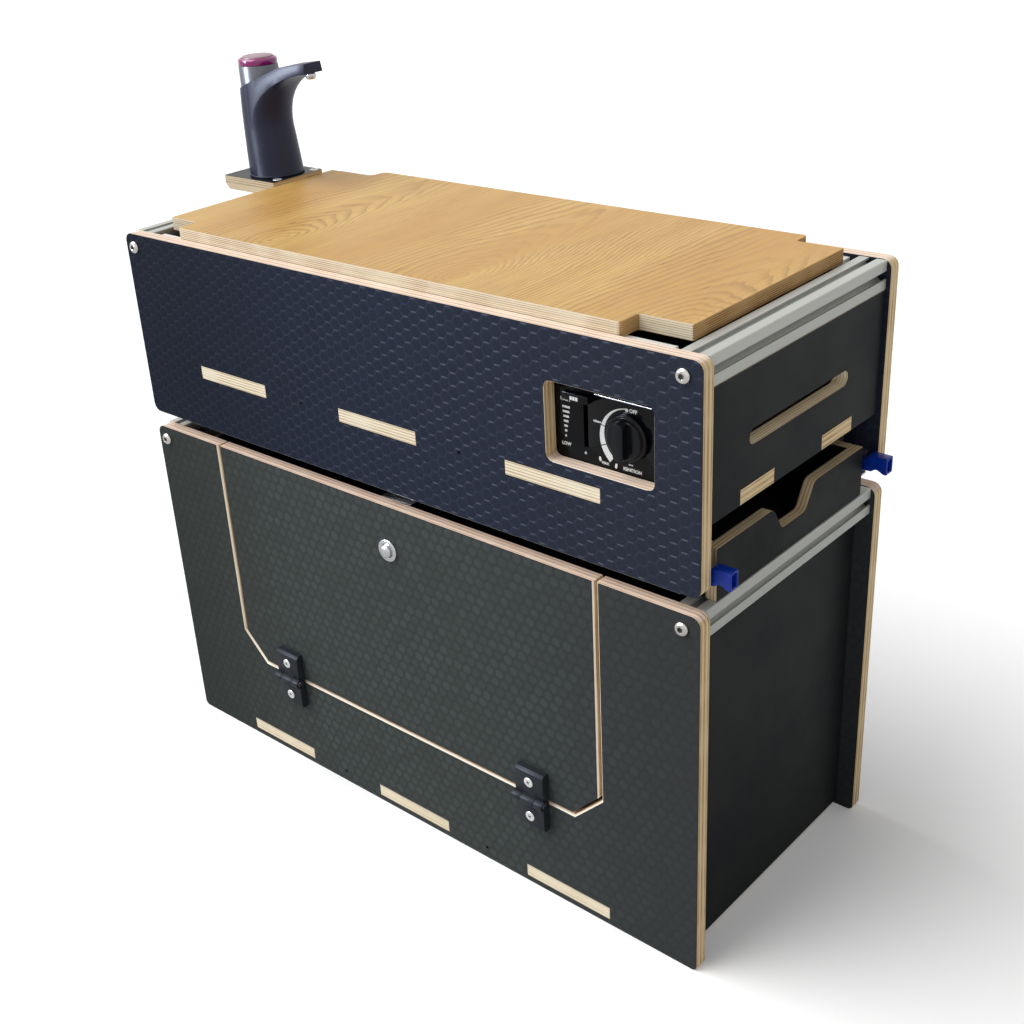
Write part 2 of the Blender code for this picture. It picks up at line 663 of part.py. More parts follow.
def make_lock(chrome, steel):
    bore = BUTTON_RADIUS + BUTTON_PLAY
    inner_end = -PLY - FIT - CASE_RADIUS
    barrel = [(bore, inner_end), (BARREL_RADIUS, inner_end), (BARREL_RADIUS, FIT), (BEZEL_RADIUS, FIT),
              (BEZEL_RADIUS, BEZEL_PROUD - BEZEL_EDGE), (BEZEL_RADIUS - BEZEL_EDGE, BEZEL_PROUD),
              (bore, BEZEL_PROUD)]
    case_outline = rectangle(-CASE_WIDTH / 2, CASE_WIDTH / 2, lock_z - CASE_BELOW, lock_z + CASE_ABOVE, CASE_RADIUS)
    housing = board("lock_housing", chrome, "Y", case_y, CASE_THICKNESS, case_outline)
    combine(housing, turned("barrel", chrome, barrel, (0, front, lock_z), "Y"), "UNION")
    channel_low = tongue_top - TONGUE_LENGTH - TONGUE_PLAY
    half_width = TONGUE_WIDTH / 2 + TONGUE_PLAY
    half_thick = TONGUE_THICKNESS / 2 + TONGUE_PLAY
    channel = box("channel", chrome, -half_width, half_width, tongue_y - half_thick, tongue_y + half_thick,
                  channel_low, tongue_top + CUT_OVERRUN)
    combine(housing, channel)
    shade(housing)
    on_axis(housing, (0, hinge_y, hinge_z))

    face = BEZEL_PROUD + BUTTON_PROUD
    profile = [(0, face - BUTTON_LENGTH), (BUTTON_RADIUS, face - BUTTON_LENGTH),
               (BUTTON_RADIUS, face - BUTTON_DOME), (BUTTON_RADIUS - BUTTON_DOME, face), (0, face)]
    button = turned("lock_button", chrome, profile, (0, front, lock_z), "Y")
    on_axis(button, (0, front, lock_z))

    tongue = box("latch_tongue", steel, -TONGUE_WIDTH / 2, TONGUE_WIDTH / 2, tongue_y - TONGUE_THICKNESS / 2,
                 tongue_y + TONGUE_THICKNESS / 2, tongue_top - TONGUE_LENGTH, tongue_top)
    on_axis(tongue, (0, tongue_y, tongue_top))

    lip = front_inner + KEEPER_CLEARANCE
    low = tongue_top + KEEPER_UNDERCUT
    high = tray_bottom - FIT
    angle = [(lip, low), (lip + KEEPER_SHEET, low), (lip + KEEPER_SHEET, high - KEEPER_SHEET),
             (lip + KEEPER_REACH, high - KEEPER_SHEET), (lip + KEEPER_REACH, high), (lip, high)]
    board("latch_keeper", steel, "X", -KEEPER_WIDTH / 2, KEEPER_WIDTH, angle)


# Tray between the units
def make_tray(ply):
    inner_end = tray_end - TRAY_PLY - FIT
    top = tray_bottom + TRAY_HEIGHT
    box("tray_floor", ply, -inner_end, inner_end, tray_front + TRAY_PLY + FIT, tray_back - TRAY_PLY - FIT,
        tray_bottom, tray_bottom + TRAY_FLOOR_PLY)
    box("tray_front_wall", ply, -inner_end, inner_end, tray_front, tray_front + TRAY_PLY, tray_bottom, top)
    box("tray_back_wall", ply, -inner_end, inner_end, tray_back - TRAY_PLY, tray_back, tray_bottom, top)
    low = top - NOTCH_DEPTH
    notched = [(tray_front, tray_bottom, 0), (tray_back, tray_bottom, 0), (tray_back, top, 0),
               (middle_y + NOTCH_TOP / 2, top, NOTCH_RADIUS), (middle_y + NOTCH_BOTTOM / 2, low, NOTCH_RADIUS),
               (middle_y - NOTCH_BOTTOM / 2, low, NOTCH_RADIUS), (middle_y - NOTCH_TOP / 2, top, NOTCH_RADIUS),
               (tray_front, top, 0)]
    board("tray_right_wall", ply, "X", tray_end - TRAY_PLY, TRAY_PLY, fillet(notched))
    board("tray_left_wall", ply, "X", -tray_end, TRAY_PLY, fillet(notched))


# Slides: a C-shaped outer member on the tray, a middle member, and an inner one on the box
def member(name, material, wall_y, way, half_outline, room=0):
    """Extrudes a member's section, given as its upper half in (distance from tray, height).

    The room is what the member ends short of the inner one, so that the lever can turn.
    """
    section = [*half_outline, *((u, -v) for u, v in reversed(half_outline))]
    outline = [(wall_y + way * u, slide_z + v) for u, v in section]
    return board(name, material, "X", slide_left, SLIDE_LENGTH - room, outline)


def make_slides(zinc):
    outer_high = SLIDE_HEIGHT / 2
    outer_low = outer_high - SLIDE_SHEET
    middle_high = outer_low - BALL_SPACE
    middle_low = middle_high - SLIDE_SHEET
    inner_high = middle_low - BALL_SPACE
    inner_low = inner_high - SLIDE_SHEET
    middle_web = MIDDLE_WEB_OFFSET + SLIDE_SHEET
    inner_back = SLIDE_SPACE - FIT
    inner_web = inner_back - SLIDE_SHEET
    balls = (BALL_OFFSET, BALL_OFFSET + BALL_WIDTH)
    outer = [(FIT + SLIDE_SHEET, 0), (FIT + SLIDE_SHEET, outer_low), (OUTER_FLANGE, outer_low),
             (OUTER_FLANGE, outer_high), (FIT, outer_high)]
    middle = [(middle_web, 0), (middle_web, middle_low), (balls[0], middle_low),
              (balls[0], inner_high + BALL_GAP), (balls[1], inner_high + BALL_GAP), (balls[1], middle_low),
              (OUTER_FLANGE, middle_low), (OUTER_FLANGE, middle_high), (balls[1], middle_high),
              (balls[1], outer_low - BALL_GAP), (balls[0], outer_low - BALL_GAP), (balls[0], middle_high),
              (MIDDLE_WEB_OFFSET, middle_high)]
    inner = [(inner_web, 0), (inner_web, inner_low), (inner_back - INNER_FLANGE, inner_low),
             (inner_back - INNER_FLANGE, inner_high), (inner_back, inner_high)]
    for side, wall_y, way in (("front", tray_front, -1), ("back", tray_back, 1)):
        member(f"{side}_slide_outer", zinc, wall_y, way, outer[1:], SLIDE_LEVER_ROOM)
        member(f"{side}_slide_middle", zinc, wall_y, way, middle[1:], SLIDE_LEVER_ROOM)
        member(f"{side}_slide_inner", zinc, wall_y, way, inner[1:])


def make_levers(blue):
    """Plastic release levers: a shank in the inner member, and a hooked paddle outside."""
    shank = LEVER_SHANK / 2
    start = slide_right + LEVER_WAIST
    tip = slide_right + LEVER_OUT
    hook = tip - LEVER_HOOK_WIDTH
    for side, wall_y, way in (("front", tray_front, -1), ("back", tray_back, 1)):
        seat = SLIDE_SPACE - FIT - SLIDE_SHEET - LEVER_PLAY
        inner_face = wall_y + way * seat
        shank_start = min(inner_face, inner_face - way * LEVER_THICKNESS)
        paddle_start = min(inner_face, inner_face - way * LEVER_PADDLE_THICKNESS)
        root = rectangle(lever_x - shank, start + LEVER_ARCH, slide_z - shank, slide_z + shank, LEVER_RADIUS)
        paddle = fillet([(start, slide_z + shank, 0), (start, slide_z - shank, 0),
                         (hook, slide_z - shank + LEVER_ARCH, LEVER_RADIUS),
                         (hook, slide_z - LEVER_HOOK, LEVER_RADIUS), (tip, slide_z - LEVER_HOOK, LEVER_RADIUS),
                         (tip, slide_z + LEVER_TOP, LEVER_RADIUS), (hook, slide_z + LEVER_TOP, LEVER_RADIUS)])
        lever = board(f"{side}_release_lever", blue, "Y", shank_start, LEVER_THICKNESS, root)
        combine(lever, board("paddle", blue, "Y", paddle_start, LEVER_PADDLE_THICKNESS, paddle), "UNION")
        shade(lever)
        on_axis(lever, (lever_x, wall_y + way * SLIDE_SPACE / 2, slide_z))


# Ledge strips and worktop
def make_ledges(white):
    x0 = bars_x["left"] + BAR / 2 + LEDGE_END_GAP
    x1 = bars_x["right"] - BAR / 2 - LEDGE_END_GAP
    high = upper_top - LEDGE_DROP
    near = front_inner + FIT
    far = back_inner - FIT
    box("front_ledge", white, x0, x1, near, near + LEDGE_WIDTH, high - LEDGE_HEIGHT, high)
    box("back_ledge", white, x0, x1, far - LEDGE_WIDTH, far, high - LEDGE_HEIGHT, high)


def make_worktop(oak):
    x0, x1 = left + TOP_LEFT_GAP, right - TOP_RIGHT_GAP
    near, far = front_inner + TOP_PLAY, back_inner - TOP_PLAY
    tongue_near, tongue_far = near + TOP_FRONT_STEP, far - TOP_BACK_STEP
    front_left, back_left = x0 + TOP_LEFT_FRONT_WING, x0 + TOP_LEFT_BACK_WING
    front_right, back_right = x1 - TOP_RIGHT_FRONT_WING, x1 - TOP_RIGHT_BACK_WING
    outline = fillet([
        (x0, tongue_near, TOP_CORNER_RADIUS), (front_left, tongue_near, TOP_INNER_RADIUS),
        (front_left, near, TOP_OUTER_RADIUS), (front_right, near, TOP_OUTER_RADIUS),
        (front_right, tongue_near, TOP_INNER_RADIUS), (x1, tongue_near, TOP_CORNER_RADIUS),
        (x1, tongue_far, TOP_CORNER_RADIUS), (back_right, tongue_far, TOP_INNER_RADIUS),
        (back_right, far, TOP_OUTER_RADIUS), (back_left, far, TOP_EASY_RADIUS),
        (back_left, tongue_far, TOP_EASY_RADIUS), (x0, tongue_far, TOP_CORNER_RADIUS)])
    board("worktop", oak, "Z", upper_top - LEDGE_DROP + FIT, TOP_PLY, outline)


# Tap and its shelf
def make_tap_shelf(ply, black_ply):
    """A tapered arm on the left bar, with a plate on it for the tap."""
    near = shelf_y - SHELF_DEPTH / 2
    top = arm_bottom + ARM_THICKNESS
    profile = [(shelf_left + ARM_TAPER, arm_bottom), (shelf_right, arm_bottom), (shelf_right, top),
               (shelf_left, top)]
    arm = board("tap_shelf_arm", ply, "Y", near, SHELF_DEPTH, profile)
    stem_room = INLET_RADIUS + INLET_BARB + FIT
    hole = [(0, arm_bottom - CUT_OVERRUN), (stem_room, arm_bottom - CUT_OVERRUN),
            (stem_room, top + CUT_OVERRUN), (0, top + CUT_OVERRUN)]
    combine(arm, turned("hole", ply, hole, (tap_x, shelf_y, 0)))
    outline = rectangle(shelf_left, shelf_right, near, near + SHELF_DEPTH, SHELF_RADIUS)
    board("tap_shelf_plate", black_ply, "Z", shelf_bottom, SHELF_PLATE_THICKNESS, outline,
          [circle(tap_x, shelf_y, stem_room)])


def spout(material):
    """Lofts the spout from inside the body to its tip, through sections narrower below."""
    shape = bmesh.new()
    rings = []
    for station in range(SPOUT_STATIONS):
        share = station / (SPOUT_STATIONS - 1)
        fall = (1 - share) ** SPOUT_FALL_SHARE
        top = SPOUT_ROOT_TOP + (SPOUT_TIP_TOP - SPOUT_ROOT_TOP) * share
        bottom = SPOUT_TIP_BOTTOM - (SPOUT_TIP_BOTTOM - SPOUT_ROOT_BOTTOM) * fall
        half_width = (SPOUT_ROOT_WIDTH + (SPOUT_TIP_WIDTH - SPOUT_ROOT_WIDTH) * share) / 2
        ring = []
        for side in range(SPOUT_SIDES):
            angle = math.tau * side / SPOUT_SIDES
            across = math.copysign(abs(math.cos(angle)) ** SPOUT_SQUARE_SHARE, math.cos(angle))
            along = math.copysign(abs(math.sin(angle)) ** SPOUT_SQUARE_SHARE, math.sin(angle))
            keel = 1 - (1 - SPOUT_KEEL_SHARE) * (1 - along) / 2
            place = (tap_x + share * SPOUT_REACH, shelf_y + half_width * across * keel,
                     tap_z + (top + bottom) / 2 + (top - bottom) / 2 * along)
            ring.append(shape.verts.new(place))
        rings.append(ring)
    for near, far in zip(rings, rings[1:]):
        for n in range(SPOUT_SIDES):
            shape.faces.new((near[n - 1], near[n], far[n], far[n - 1]))
    shape.faces.new(rings[0])
    shape.faces.new(rings[-1])
    return store("spout", shape, material)


def tap_body(material):
    """Leaning body on a barbed inlet, with the spout joined on and a cup for the button."""
    low, barb = arm_bottom - tap_z - INLET_LENGTH, INLET_RADIUS + INLET_BARB
    stem = [(0, low), (INLET_RADIUS, low), (barb, low + 2 * INLET_BARB), (INLET_RADIUS, low + 4 * INLET_BARB),
            (barb, low + 6 * INLET_BARB), (INLET_RADIUS, low + 8 * INLET_BARB)]
    shoulder = TAP_HEIGHT * TAP_SHOULDER_SHARE
    profile = [*stem, (INLET_RADIUS, 0), (TAP_BASE_RADIUS, 0), (TAP_BASE_RADIUS, TAP_FOOT_STEP),
               (TAP_BASE_RADIUS - TAP_FOOT_STEP / 2, 2 * TAP_FOOT_STEP),
               (TAP_WAIST_RADIUS, TAP_HEIGHT * TAP_WAIST_SHARE), (TAP_SHOULDER_RADIUS, shoulder),
               (TAP_NECK_RADIUS, shoulder + TAP_SHOULDER_STEP), (TAP_TOP_RADIUS, TAP_HEIGHT), (0, TAP_HEIGHT)]
    body = turned("tap_body", material, profile, (tap_x, shelf_y, tap_z), "Z", TAP_SIDES)
    for vertex in body.data.vertices:
        vertex.co.x -= TAP_LEAN * max(vertex.co.z - tap_z, 0)
    combine(body, spout(material), "UNION")
    cup_radius = TAP_BUTTON_RADIUS + TAP_BUTTON_PLAY
    cup = [(0, TAP_HEIGHT - TAP_CUP_DEPTH), (cup_radius, TAP_HEIGHT - TAP_CUP_DEPTH),
           (cup_radius, TAP_HEIGHT + CUT_OVERRUN), (0, TAP_HEIGHT + CUT_OVERRUN)]
    combine(body, turned("cup", material, cup, (tap_top_x, shelf_y, tap_z), "Z", TAP_SIDES))
    seat = SPOUT_TIP_BOTTOM - NOZZLE_DROP + FIT
    socket = [(0, seat - NOZZLE_LENGTH), (NOZZLE_RADIUS + FIT, seat - NOZZLE_LENGTH), (NOZZLE_RADIUS + FIT, seat),
              (0, seat)]
    combine(body, turned("socket", material, socket, (nozzle_x, shelf_y, tap_z), "Z", SPOUT_SIDES))
    shade(body)


def make_tap(charcoal, magenta, chrome):
    tap_body(charcoal)
    top = (tap_top_x, shelf_y, tap_z)
    inner = TAP_BUTTON_RADIUS + TAP_BUTTON_PLAY
    ring_low = TAP_HEIGHT + FIT
    ring_high = ring_low + TAP_RING_HEIGHT
    ring = [(inner, ring_low), (TAP_TOP_RADIUS, ring_low), (TAP_TOP_RADIUS, ring_high - TAP_RING_BEVEL),
            (TAP_TOP_RADIUS - TAP_RING_BEVEL, ring_high), (inner, ring_high)]
    turned("tap_ring", magenta, ring, top, "Z", TAP_SIDES)

    low = TAP_HEIGHT - TAP_CUP_DEPTH + TAP_BUTTON_TRAVEL + FIT
    high = ring_high + TAP_BUTTON_PROUD
    button = [(0, low), (TAP_BUTTON_RADIUS, low), (TAP_BUTTON_RADIUS, high - TAP_BUTTON_PROUD / 2),
              (TAP_BUTTON_RADIUS - TAP_BUTTON_PROUD, high), (0, high)]
    press = turned("tap_button", charcoal, button, top, "Z", TAP_SIDES)
    on_axis(press, (tap_top_x, shelf_y, tap_z + high))

    tip = SPOUT_TIP_BOTTOM - NOZZLE_DROP
    nozzle = [(NOZZLE_BORE, tip - NOZZLE_LENGTH), (NOZZLE_TIP_RADIUS, tip - NOZZLE_LENGTH),
              (NOZZLE_RADIUS, tip - NOZZLE_LENGTH / 2), (NOZZLE_RADIUS, tip), (NOZZLE_BORE, tip)]
    turned("tap_nozzle", chrome, nozzle, (nozzle_x, shelf_y, tap_z), "Z", SPOUT_SIDES)


# Cassette stove
def stove_case(material):
    """Sheet case, open underneath, with a bowl pressed into its top for the burner."""
    outline = rectangle(stove_left, stove_right, stove_front, stove_front + STOVE_DEPTH, STOVE_RADIUS)
    case = board("stove_case", material, "Z", stove_bottom, STOVE_HEIGHT, outline)
    floor = stove_top - BOWL_DEPTH
    bowl = [(0, floor), (BOWL_RADIUS - BOWL_SLOPE, floor), (BOWL_RADIUS, stove_top),
            (BOWL_RADIUS, stove_top + CUT_OVERRUN), (0, stove_top + CUT_OVERRUN)]
    combine(case, turned("bowl", material, bowl, (burner_x, burner_y, 0), "Z", KNOB_SIDES))
    inner = rectangle(stove_left + STOVE_SHEET, stove_right - STOVE_SHEET, stove_front + STOVE_SHEET,
                      stove_front + STOVE_DEPTH - STOVE_SHEET, STOVE_RADIUS - STOVE_SHEET)
    inside = board("inside", material, "Z", stove_bottom - CUT_OVERRUN, STOVE_HEIGHT + CUT_OVERRUN - STOVE_SHEET,
                   inner)
    pit = [(0, floor - STOVE_SHEET), (BOWL_RADIUS - BOWL_SLOPE + STOVE_SHEET, floor - STOVE_SHEET),
           (BOWL_RADIUS + STOVE_SHEET, stove_top), (0, stove_top)]
    combine(inside, turned("pit", material, pit, (burner_x, burner_y, 0), "Z", KNOB_SIDES))
    combine(case, inside)
    shaft_room = KNOB_SHAFT + KNOB_PLAY
    deep = KNOB_SHAFT_LENGTH + KNOB_PLAY
    hole = board("hole", material, "Y", stove_front - CUT_OVERRUN, deep + CUT_OVERRUN,
                 circle(knob_x, knob_z, shaft_room))
    combine(case, hole)
    half = SLIDER_STEM / 2 + SLIDER_PLAY
    slot = rectangle(slider_x - half, slider_x + half, slider_z - SLIDER_TRAVEL - half, slider_z + half)
    deep = SLIDER_SINK + SLIDER_PLAY
    combine(case, board("slot", material, "Y", stove_front - CUT_OVERRUN, deep + CUT_OVERRUN, slot))
    return case


def stove_burner(material):
    low = stove_top - BOWL_DEPTH + FIT
    neck = low + BURNER_BASE
    profile = [(0, low), (BURNER_STEM, low), (BURNER_STEM, neck), (BURNER_RADIUS - BURNER_RIM, neck),
               (BURNER_RADIUS, neck + BURNER_RIM), (BURNER_RADIUS, neck + BURNER_CROWN - BURNER_RIM),
               (BURNER_RADIUS - BURNER_RIM, neck + BURNER_CROWN), (0, neck + BURNER_CROWN)]
    turned("stove_burner", material, profile, (burner_x, burner_y, 0), "Z", KNOB_SIDES)


def stove_trivet(material):
    """Pan support: a ring on the case with arms that rise and reach in over the burner."""
    low = stove_top + FIT
    outer = BOWL_RADIUS + TRIVET_SEAT
    inner = outer - TRIVET_RING
    ring = [(inner, low), (outer, low), (outer, low + TRIVET_RING_HEIGHT),
            (inner, low + TRIVET_RING_HEIGHT)]
    trivet = turned("stove_trivet", material, ring, (burner_x, burner_y, 0), "Z", KNOB_SIDES)
    high = low + TRIVET_HEIGHT
    arm = [(inner + TRIVET_ARM / 2, low + FIT), (inner + TRIVET_ARM / 2, high),
           (inner - TRIVET_ARM_REACH, high), (inner - TRIVET_ARM_REACH, high - TRIVET_ARM_DEPTH),
           (inner - TRIVET_ARM_DEPTH, high - TRIVET_ARM_DEPTH), (inner - TRIVET_ARM / 2, low + FIT)]
    for n in range(TRIVET_ARMS):
        blade = board("blade", material, "Y", -TRIVET_ARM / 2, TRIVET_ARM, arm)
        turn = Matrix.Rotation(math.tau * (n + 0.5) / TRIVET_ARMS, 4, "Z")
        blade.data.transform(Matrix.Translation((burner_x, burner_y, 0)) @ turn)
        combine(trivet, blade, "UNION")
    shade(trivet)


def stove_knob(material):
    """Round knob with a raised bar to grip, on a shaft into the case."""
    seat = stove_front - KNOB_PLAY
    profile = [(0, -KNOB_SHAFT_LENGTH), (KNOB_SHAFT, -KNOB_SHAFT_LENGTH), (KNOB_SHAFT, 0), (KNOB_RADIUS, 0),
               (KNOB_RADIUS, KNOB_SKIRT), (KNOB_DOME_RADIUS, KNOB_SKIRT), (KNOB_DOME_RADIUS, KNOB_DOME),
               (0, KNOB_DOME)]
    knob = turned("stove_knob", material, profile, (knob_x, seat, knob_z), "Y", KNOB_SIDES)
    radius = KNOB_GRIP / 2 - FIT
    grip = rectangle(knob_x - KNOB_GRIP / 2, knob_x + KNOB_GRIP / 2, knob_z - KNOB_GRIP_LENGTH / 2,
                     knob_z + KNOB_GRIP_LENGTH / 2, radius)
    bar = board("bar", material, "Y", seat - KNOB_HEIGHT, KNOB_HEIGHT - KNOB_DOME / 2, grip)
    combine(knob, bar, "UNION")
    shade(knob)
    on_axis(knob, (knob_x, seat, knob_z))


def stove_slider(material):
    """Slider with a stem through the case's slot and a handle in front of it."""
    seat = stove_front - SLIDER_PLAY
    centre = slider_x - SLIDER_HANDLE_SHIFT
    outline = rectangle(centre - SLIDER_HANDLE_LENGTH / 2, centre + SLIDER_HANDLE_LENGTH / 2,
                        slider_z - SLIDER_HANDLE_HEIGHT / 2, slider_z + SLIDER_HANDLE_HEIGHT / 2, BEZEL_EDGE)
    slider = board("stove_slider", material, "Y", seat - SLIDER_HANDLE_DEPTH, SLIDER_HANDLE_DEPTH, outline)
    half = SLIDER_STEM / 2
    stem = rectangle(slider_x - half, slider_x + half, slider_z - half, slider_z + half)
    start = seat - SLIDER_HANDLE_DEPTH / 2
    combine(slider, board("stem", material, "Y", start, stove_front + SLIDER_SINK - start, stem), "UNION")
    on_axis(slider, (slider_x, seat, slider_z))


def make_stove(gloss_black, black, steel):
    stove_case(gloss_black)
    stove_burner(steel)
    stove_trivet(gloss_black)
    stove_knob(black)
    stove_slider(black)


def main():
    for piece in list(bpy.data.objects):
        bpy.data.objects.remove(piece)
    dark_hex = finish("dark_hexagon_ply", (0.024, 0.028, 0.042), 0.35)
    green_hex = finish("green_black_hexagon_ply", (0.038, 0.045, 0.043), 0.38)
    smooth_black = finish("smooth_black_ply", (0.016, 0.016, 0.016), 0.45)
    birch = finish("birch_ply", (0.62, 0.45, 0.27), 0.55)
    oak = finish("oak_faced_ply", (0.60, 0.38, 0.15), 0.50)
    aluminium = finish("anodised_aluminium", (0.55, 0.56, 0.53), 0.42, 1.0)
    steel = finish("stainless_steel", (0.62, 0.62, 0.62), 0.25, 1.0)
    zinc = finish("zinc_plated_steel", (0.48, 0.49, 0.50), 0.35, 1.0)
    chrome = finish("satin_chrome", (0.70, 0.70, 0.70), 0.18, 1.0)
    black = finish("black_plastic", (0.012, 0.012, 0.013), 0.45)
    gloss_black = finish("gloss_black_enamel", (0.006, 0.006, 0.007), 0.10)
    blue = finish("blue_plastic", (0.012, 0.045, 0.42), 0.35)
    white = finish("white_plastic", (0.80, 0.80, 0.78), 0.40)
    charcoal = finish("charcoal_plastic", (0.055, 0.058, 0.075), 0.32)
    magenta = finish("magenta_plastic", (0.42, 0.02, 0.22), 0.20)

    make_panels(dark_hex, green_hex, smooth_black)
    make_bars(aluminium)
    make_bolts(steel)
    make_door(green_hex)
    make_hinges(black, steel)
    make_lock(chrome, steel)
    make_tray(smooth_black)
    make_slides(zinc)
    make_levers(blue)
    make_ledges(white)
    make_worktop(oak)
    make_tap_shelf(birch, smooth_black)
    make_tap(charcoal, magenta, chrome)
    make_stove(gloss_black, black, steel)


main()
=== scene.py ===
import json
import math

import bpy
from mathutils import Euler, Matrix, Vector


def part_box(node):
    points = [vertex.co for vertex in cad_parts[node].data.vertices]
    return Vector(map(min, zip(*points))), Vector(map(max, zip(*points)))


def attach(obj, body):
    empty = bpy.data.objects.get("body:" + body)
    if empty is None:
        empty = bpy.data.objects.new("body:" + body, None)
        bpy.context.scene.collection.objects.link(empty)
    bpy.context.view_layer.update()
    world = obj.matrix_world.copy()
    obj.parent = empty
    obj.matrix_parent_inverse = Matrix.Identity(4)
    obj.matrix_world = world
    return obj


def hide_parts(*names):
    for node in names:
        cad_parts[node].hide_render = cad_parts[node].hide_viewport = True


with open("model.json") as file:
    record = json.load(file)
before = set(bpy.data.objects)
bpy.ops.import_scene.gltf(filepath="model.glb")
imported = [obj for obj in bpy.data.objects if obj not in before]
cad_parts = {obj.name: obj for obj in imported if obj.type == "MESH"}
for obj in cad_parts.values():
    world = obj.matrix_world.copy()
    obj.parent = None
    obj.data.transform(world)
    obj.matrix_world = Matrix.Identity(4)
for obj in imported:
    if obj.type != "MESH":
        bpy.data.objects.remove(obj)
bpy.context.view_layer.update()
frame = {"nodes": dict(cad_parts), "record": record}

# Campervan kitchen pod: finishes, small parts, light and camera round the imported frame, in metres
record = frame["record"]
bodyOf = {node: body for body, members in record["behaviour"]["bodies"].items() for node in members}
mergeGap = 0.00002
nearGap = 0.0001  # how near counts as the same place
frontFace = -0.008  # the front boards' outer faces
flatAngle = math.radians(1)
sharpAngle = math.radians(32)


# Shader nodes
def plug(tree, socket, value):
    if isinstance(value, bpy.types.NodeSocket):
        tree.links.new(value, socket)
    else:
        socket.default_value = value


def put(tree, kind, sockets=None, **settings):
    node = tree.nodes.new("ShaderNode" + kind)
    for name, value in settings.items():
        setattr(node, name, value)
    for name, value in (sockets or {}).items():
        plug(tree, node.inputs[name], value)
    return node


def maths(tree, operation, first, second=0.0, third=0.0):
    return put(tree, "Math", {0: first, 1: second, 2: third}, operation=operation).outputs[0]


def vectors(tree, operation, first, second=(0, 0, 0), third=(0, 0, 0)):
    node = put(tree, "VectorMath", {0: first, 1: second, 2: third}, operation=operation)
    return node.outputs[1 if operation in ("LENGTH", "DOT_PRODUCT") else 0]


def mix(tree, share, first, second):
    return put(tree, "Mix", {0: share, 6: first, 7: second}, data_type="RGBA").outputs[2]


def ease(tree, value, low, high, start=0.0, stop=1.0):
    sockets = {0: value, 1: low, 2: high, 3: start, 4: stop}
    return put(tree, "MapRange", sockets, interpolation_type="SMOOTHSTEP").outputs[0]


def clouds(tree, vector, scale, detail=3.0, roughness=0.5):
    sockets = {"Vector": vector, "Scale": scale, "Detail": detail, "Roughness": roughness}
    return put(tree, "TexNoise", sockets).outputs[0]


def drift(tree, vector, scale, detail=2.0):  # noise in three channels, to move a place about
    return put(tree, "TexNoise", {"Vector": vector, "Scale": scale, "Detail": detail}).outputs[1]


def combine(tree, x, y=0.0, z=0.0):
    return put(tree, "CombineXYZ", {0: x, 1: y, 2: z}).outputs[0]


def stretch(tree, vector, scale, turn=(0, 0, 0), move=(0, 0, 0)):
    sockets = {"Vector": vector, "Scale": scale, "Rotation": turn, "Location": move}
    return put(tree, "Mapping", sockets).outputs[0]


def paint(code):  # a screen colour such as "c8a06a" as the linear values that shaders use
    parts = [int(code[n:n + 2], 16) / 255 for n in (0, 2, 4)]
    return (*[c / 12.92 if c <= 0.04045 else ((c + 0.055) / 1.055) ** 2.4 for c in parts], 1.0)


def tint(tree, colour, mask, share, shade):  # lays part of a shade over a colour where the mask says
    return mix(tree, maths(tree, "MULTIPLY", mask, share), colour, paint(shade))


def startGroup(name, inputs, outputs):
    group = bpy.data.node_groups.new(name, "ShaderNodeTree")
    for label, kind in inputs.items():
        group.interface.new_socket(name=label, in_out="INPUT", socket_type="NodeSocket" + kind)
    for label, kind in outputs.items():
        group.interface.new_socket(name=label, in_out="OUTPUT", socket_type="NodeSocket" + kind)
    return group, group.nodes.new("NodeGroupInput").outputs, group.nodes.new("NodeGroupOutput").inputs


def use(tree, group, sockets):
    node = put(tree, "Group", node_tree=group)
    for name, value in sockets.items():
        plug(tree, node.inputs[name], value)
    return node.outputs


# Effects that several finishes share
def makeHexCells():
    # six-sided cells with one pair of edges square to the first axis
    group, given, result = startGroup(
        "hexCells", {"Place": "Vector", "Pitch": "Float"},
        {"Edge": "Float", "Flat": "Float", "Cell": "Float"})
    root = math.sqrt(3)
    half = (0.5, root / 2, 0.5)
    perPitch = maths(group, "DIVIDE", 1.0, given["Pitch"])
    scaled = put(group, "VectorMath", {0: given["Place"], 3: perPitch}, operation="SCALE").outputs[0]
    place = vectors(group, "MULTIPLY", scaled, (1, 1, 0))
    minus = tuple(-part for part in half)
    first = vectors(group, "WRAP", place, half, minus)
    second = vectors(group, "WRAP", vectors(group, "SUBTRACT", place, (half[0], half[1], 0)), half, minus)
    nearer = maths(group, "LESS_THAN", vectors(group, "LENGTH", second), vectors(group, "LENGTH", first))
    chosen = put(group, "Mix", {0: nearer, 4: first, 5: second}, data_type="VECTOR").outputs[1]
    offset = vectors(group, "ABSOLUTE", chosen)
    flat = vectors(group, "DOT_PRODUCT", offset, (1, 0, 0))
    slant = vectors(group, "DOT_PRODUCT", offset, (0.5, root / 2, 0))
    plug(group, result["Edge"], maths(group, "SUBTRACT", 0.5, maths(group, "MAXIMUM", flat, slant)))
    plug(group, result["Flat"], maths(group, "SUBTRACT", flat, slant))
    middle = vectors(group, "MULTIPLY", vectors(group, "SUBTRACT", place, chosen), (2, 2 / root, 0))
    snapped = vectors(group, "FLOOR", vectors(group, "ADD", middle, (0.5, 0.5, 0)))
    plug(group, result["Cell"], put(group, "TexWhiteNoise", {"Vector": snapped}).outputs[0])
    return group


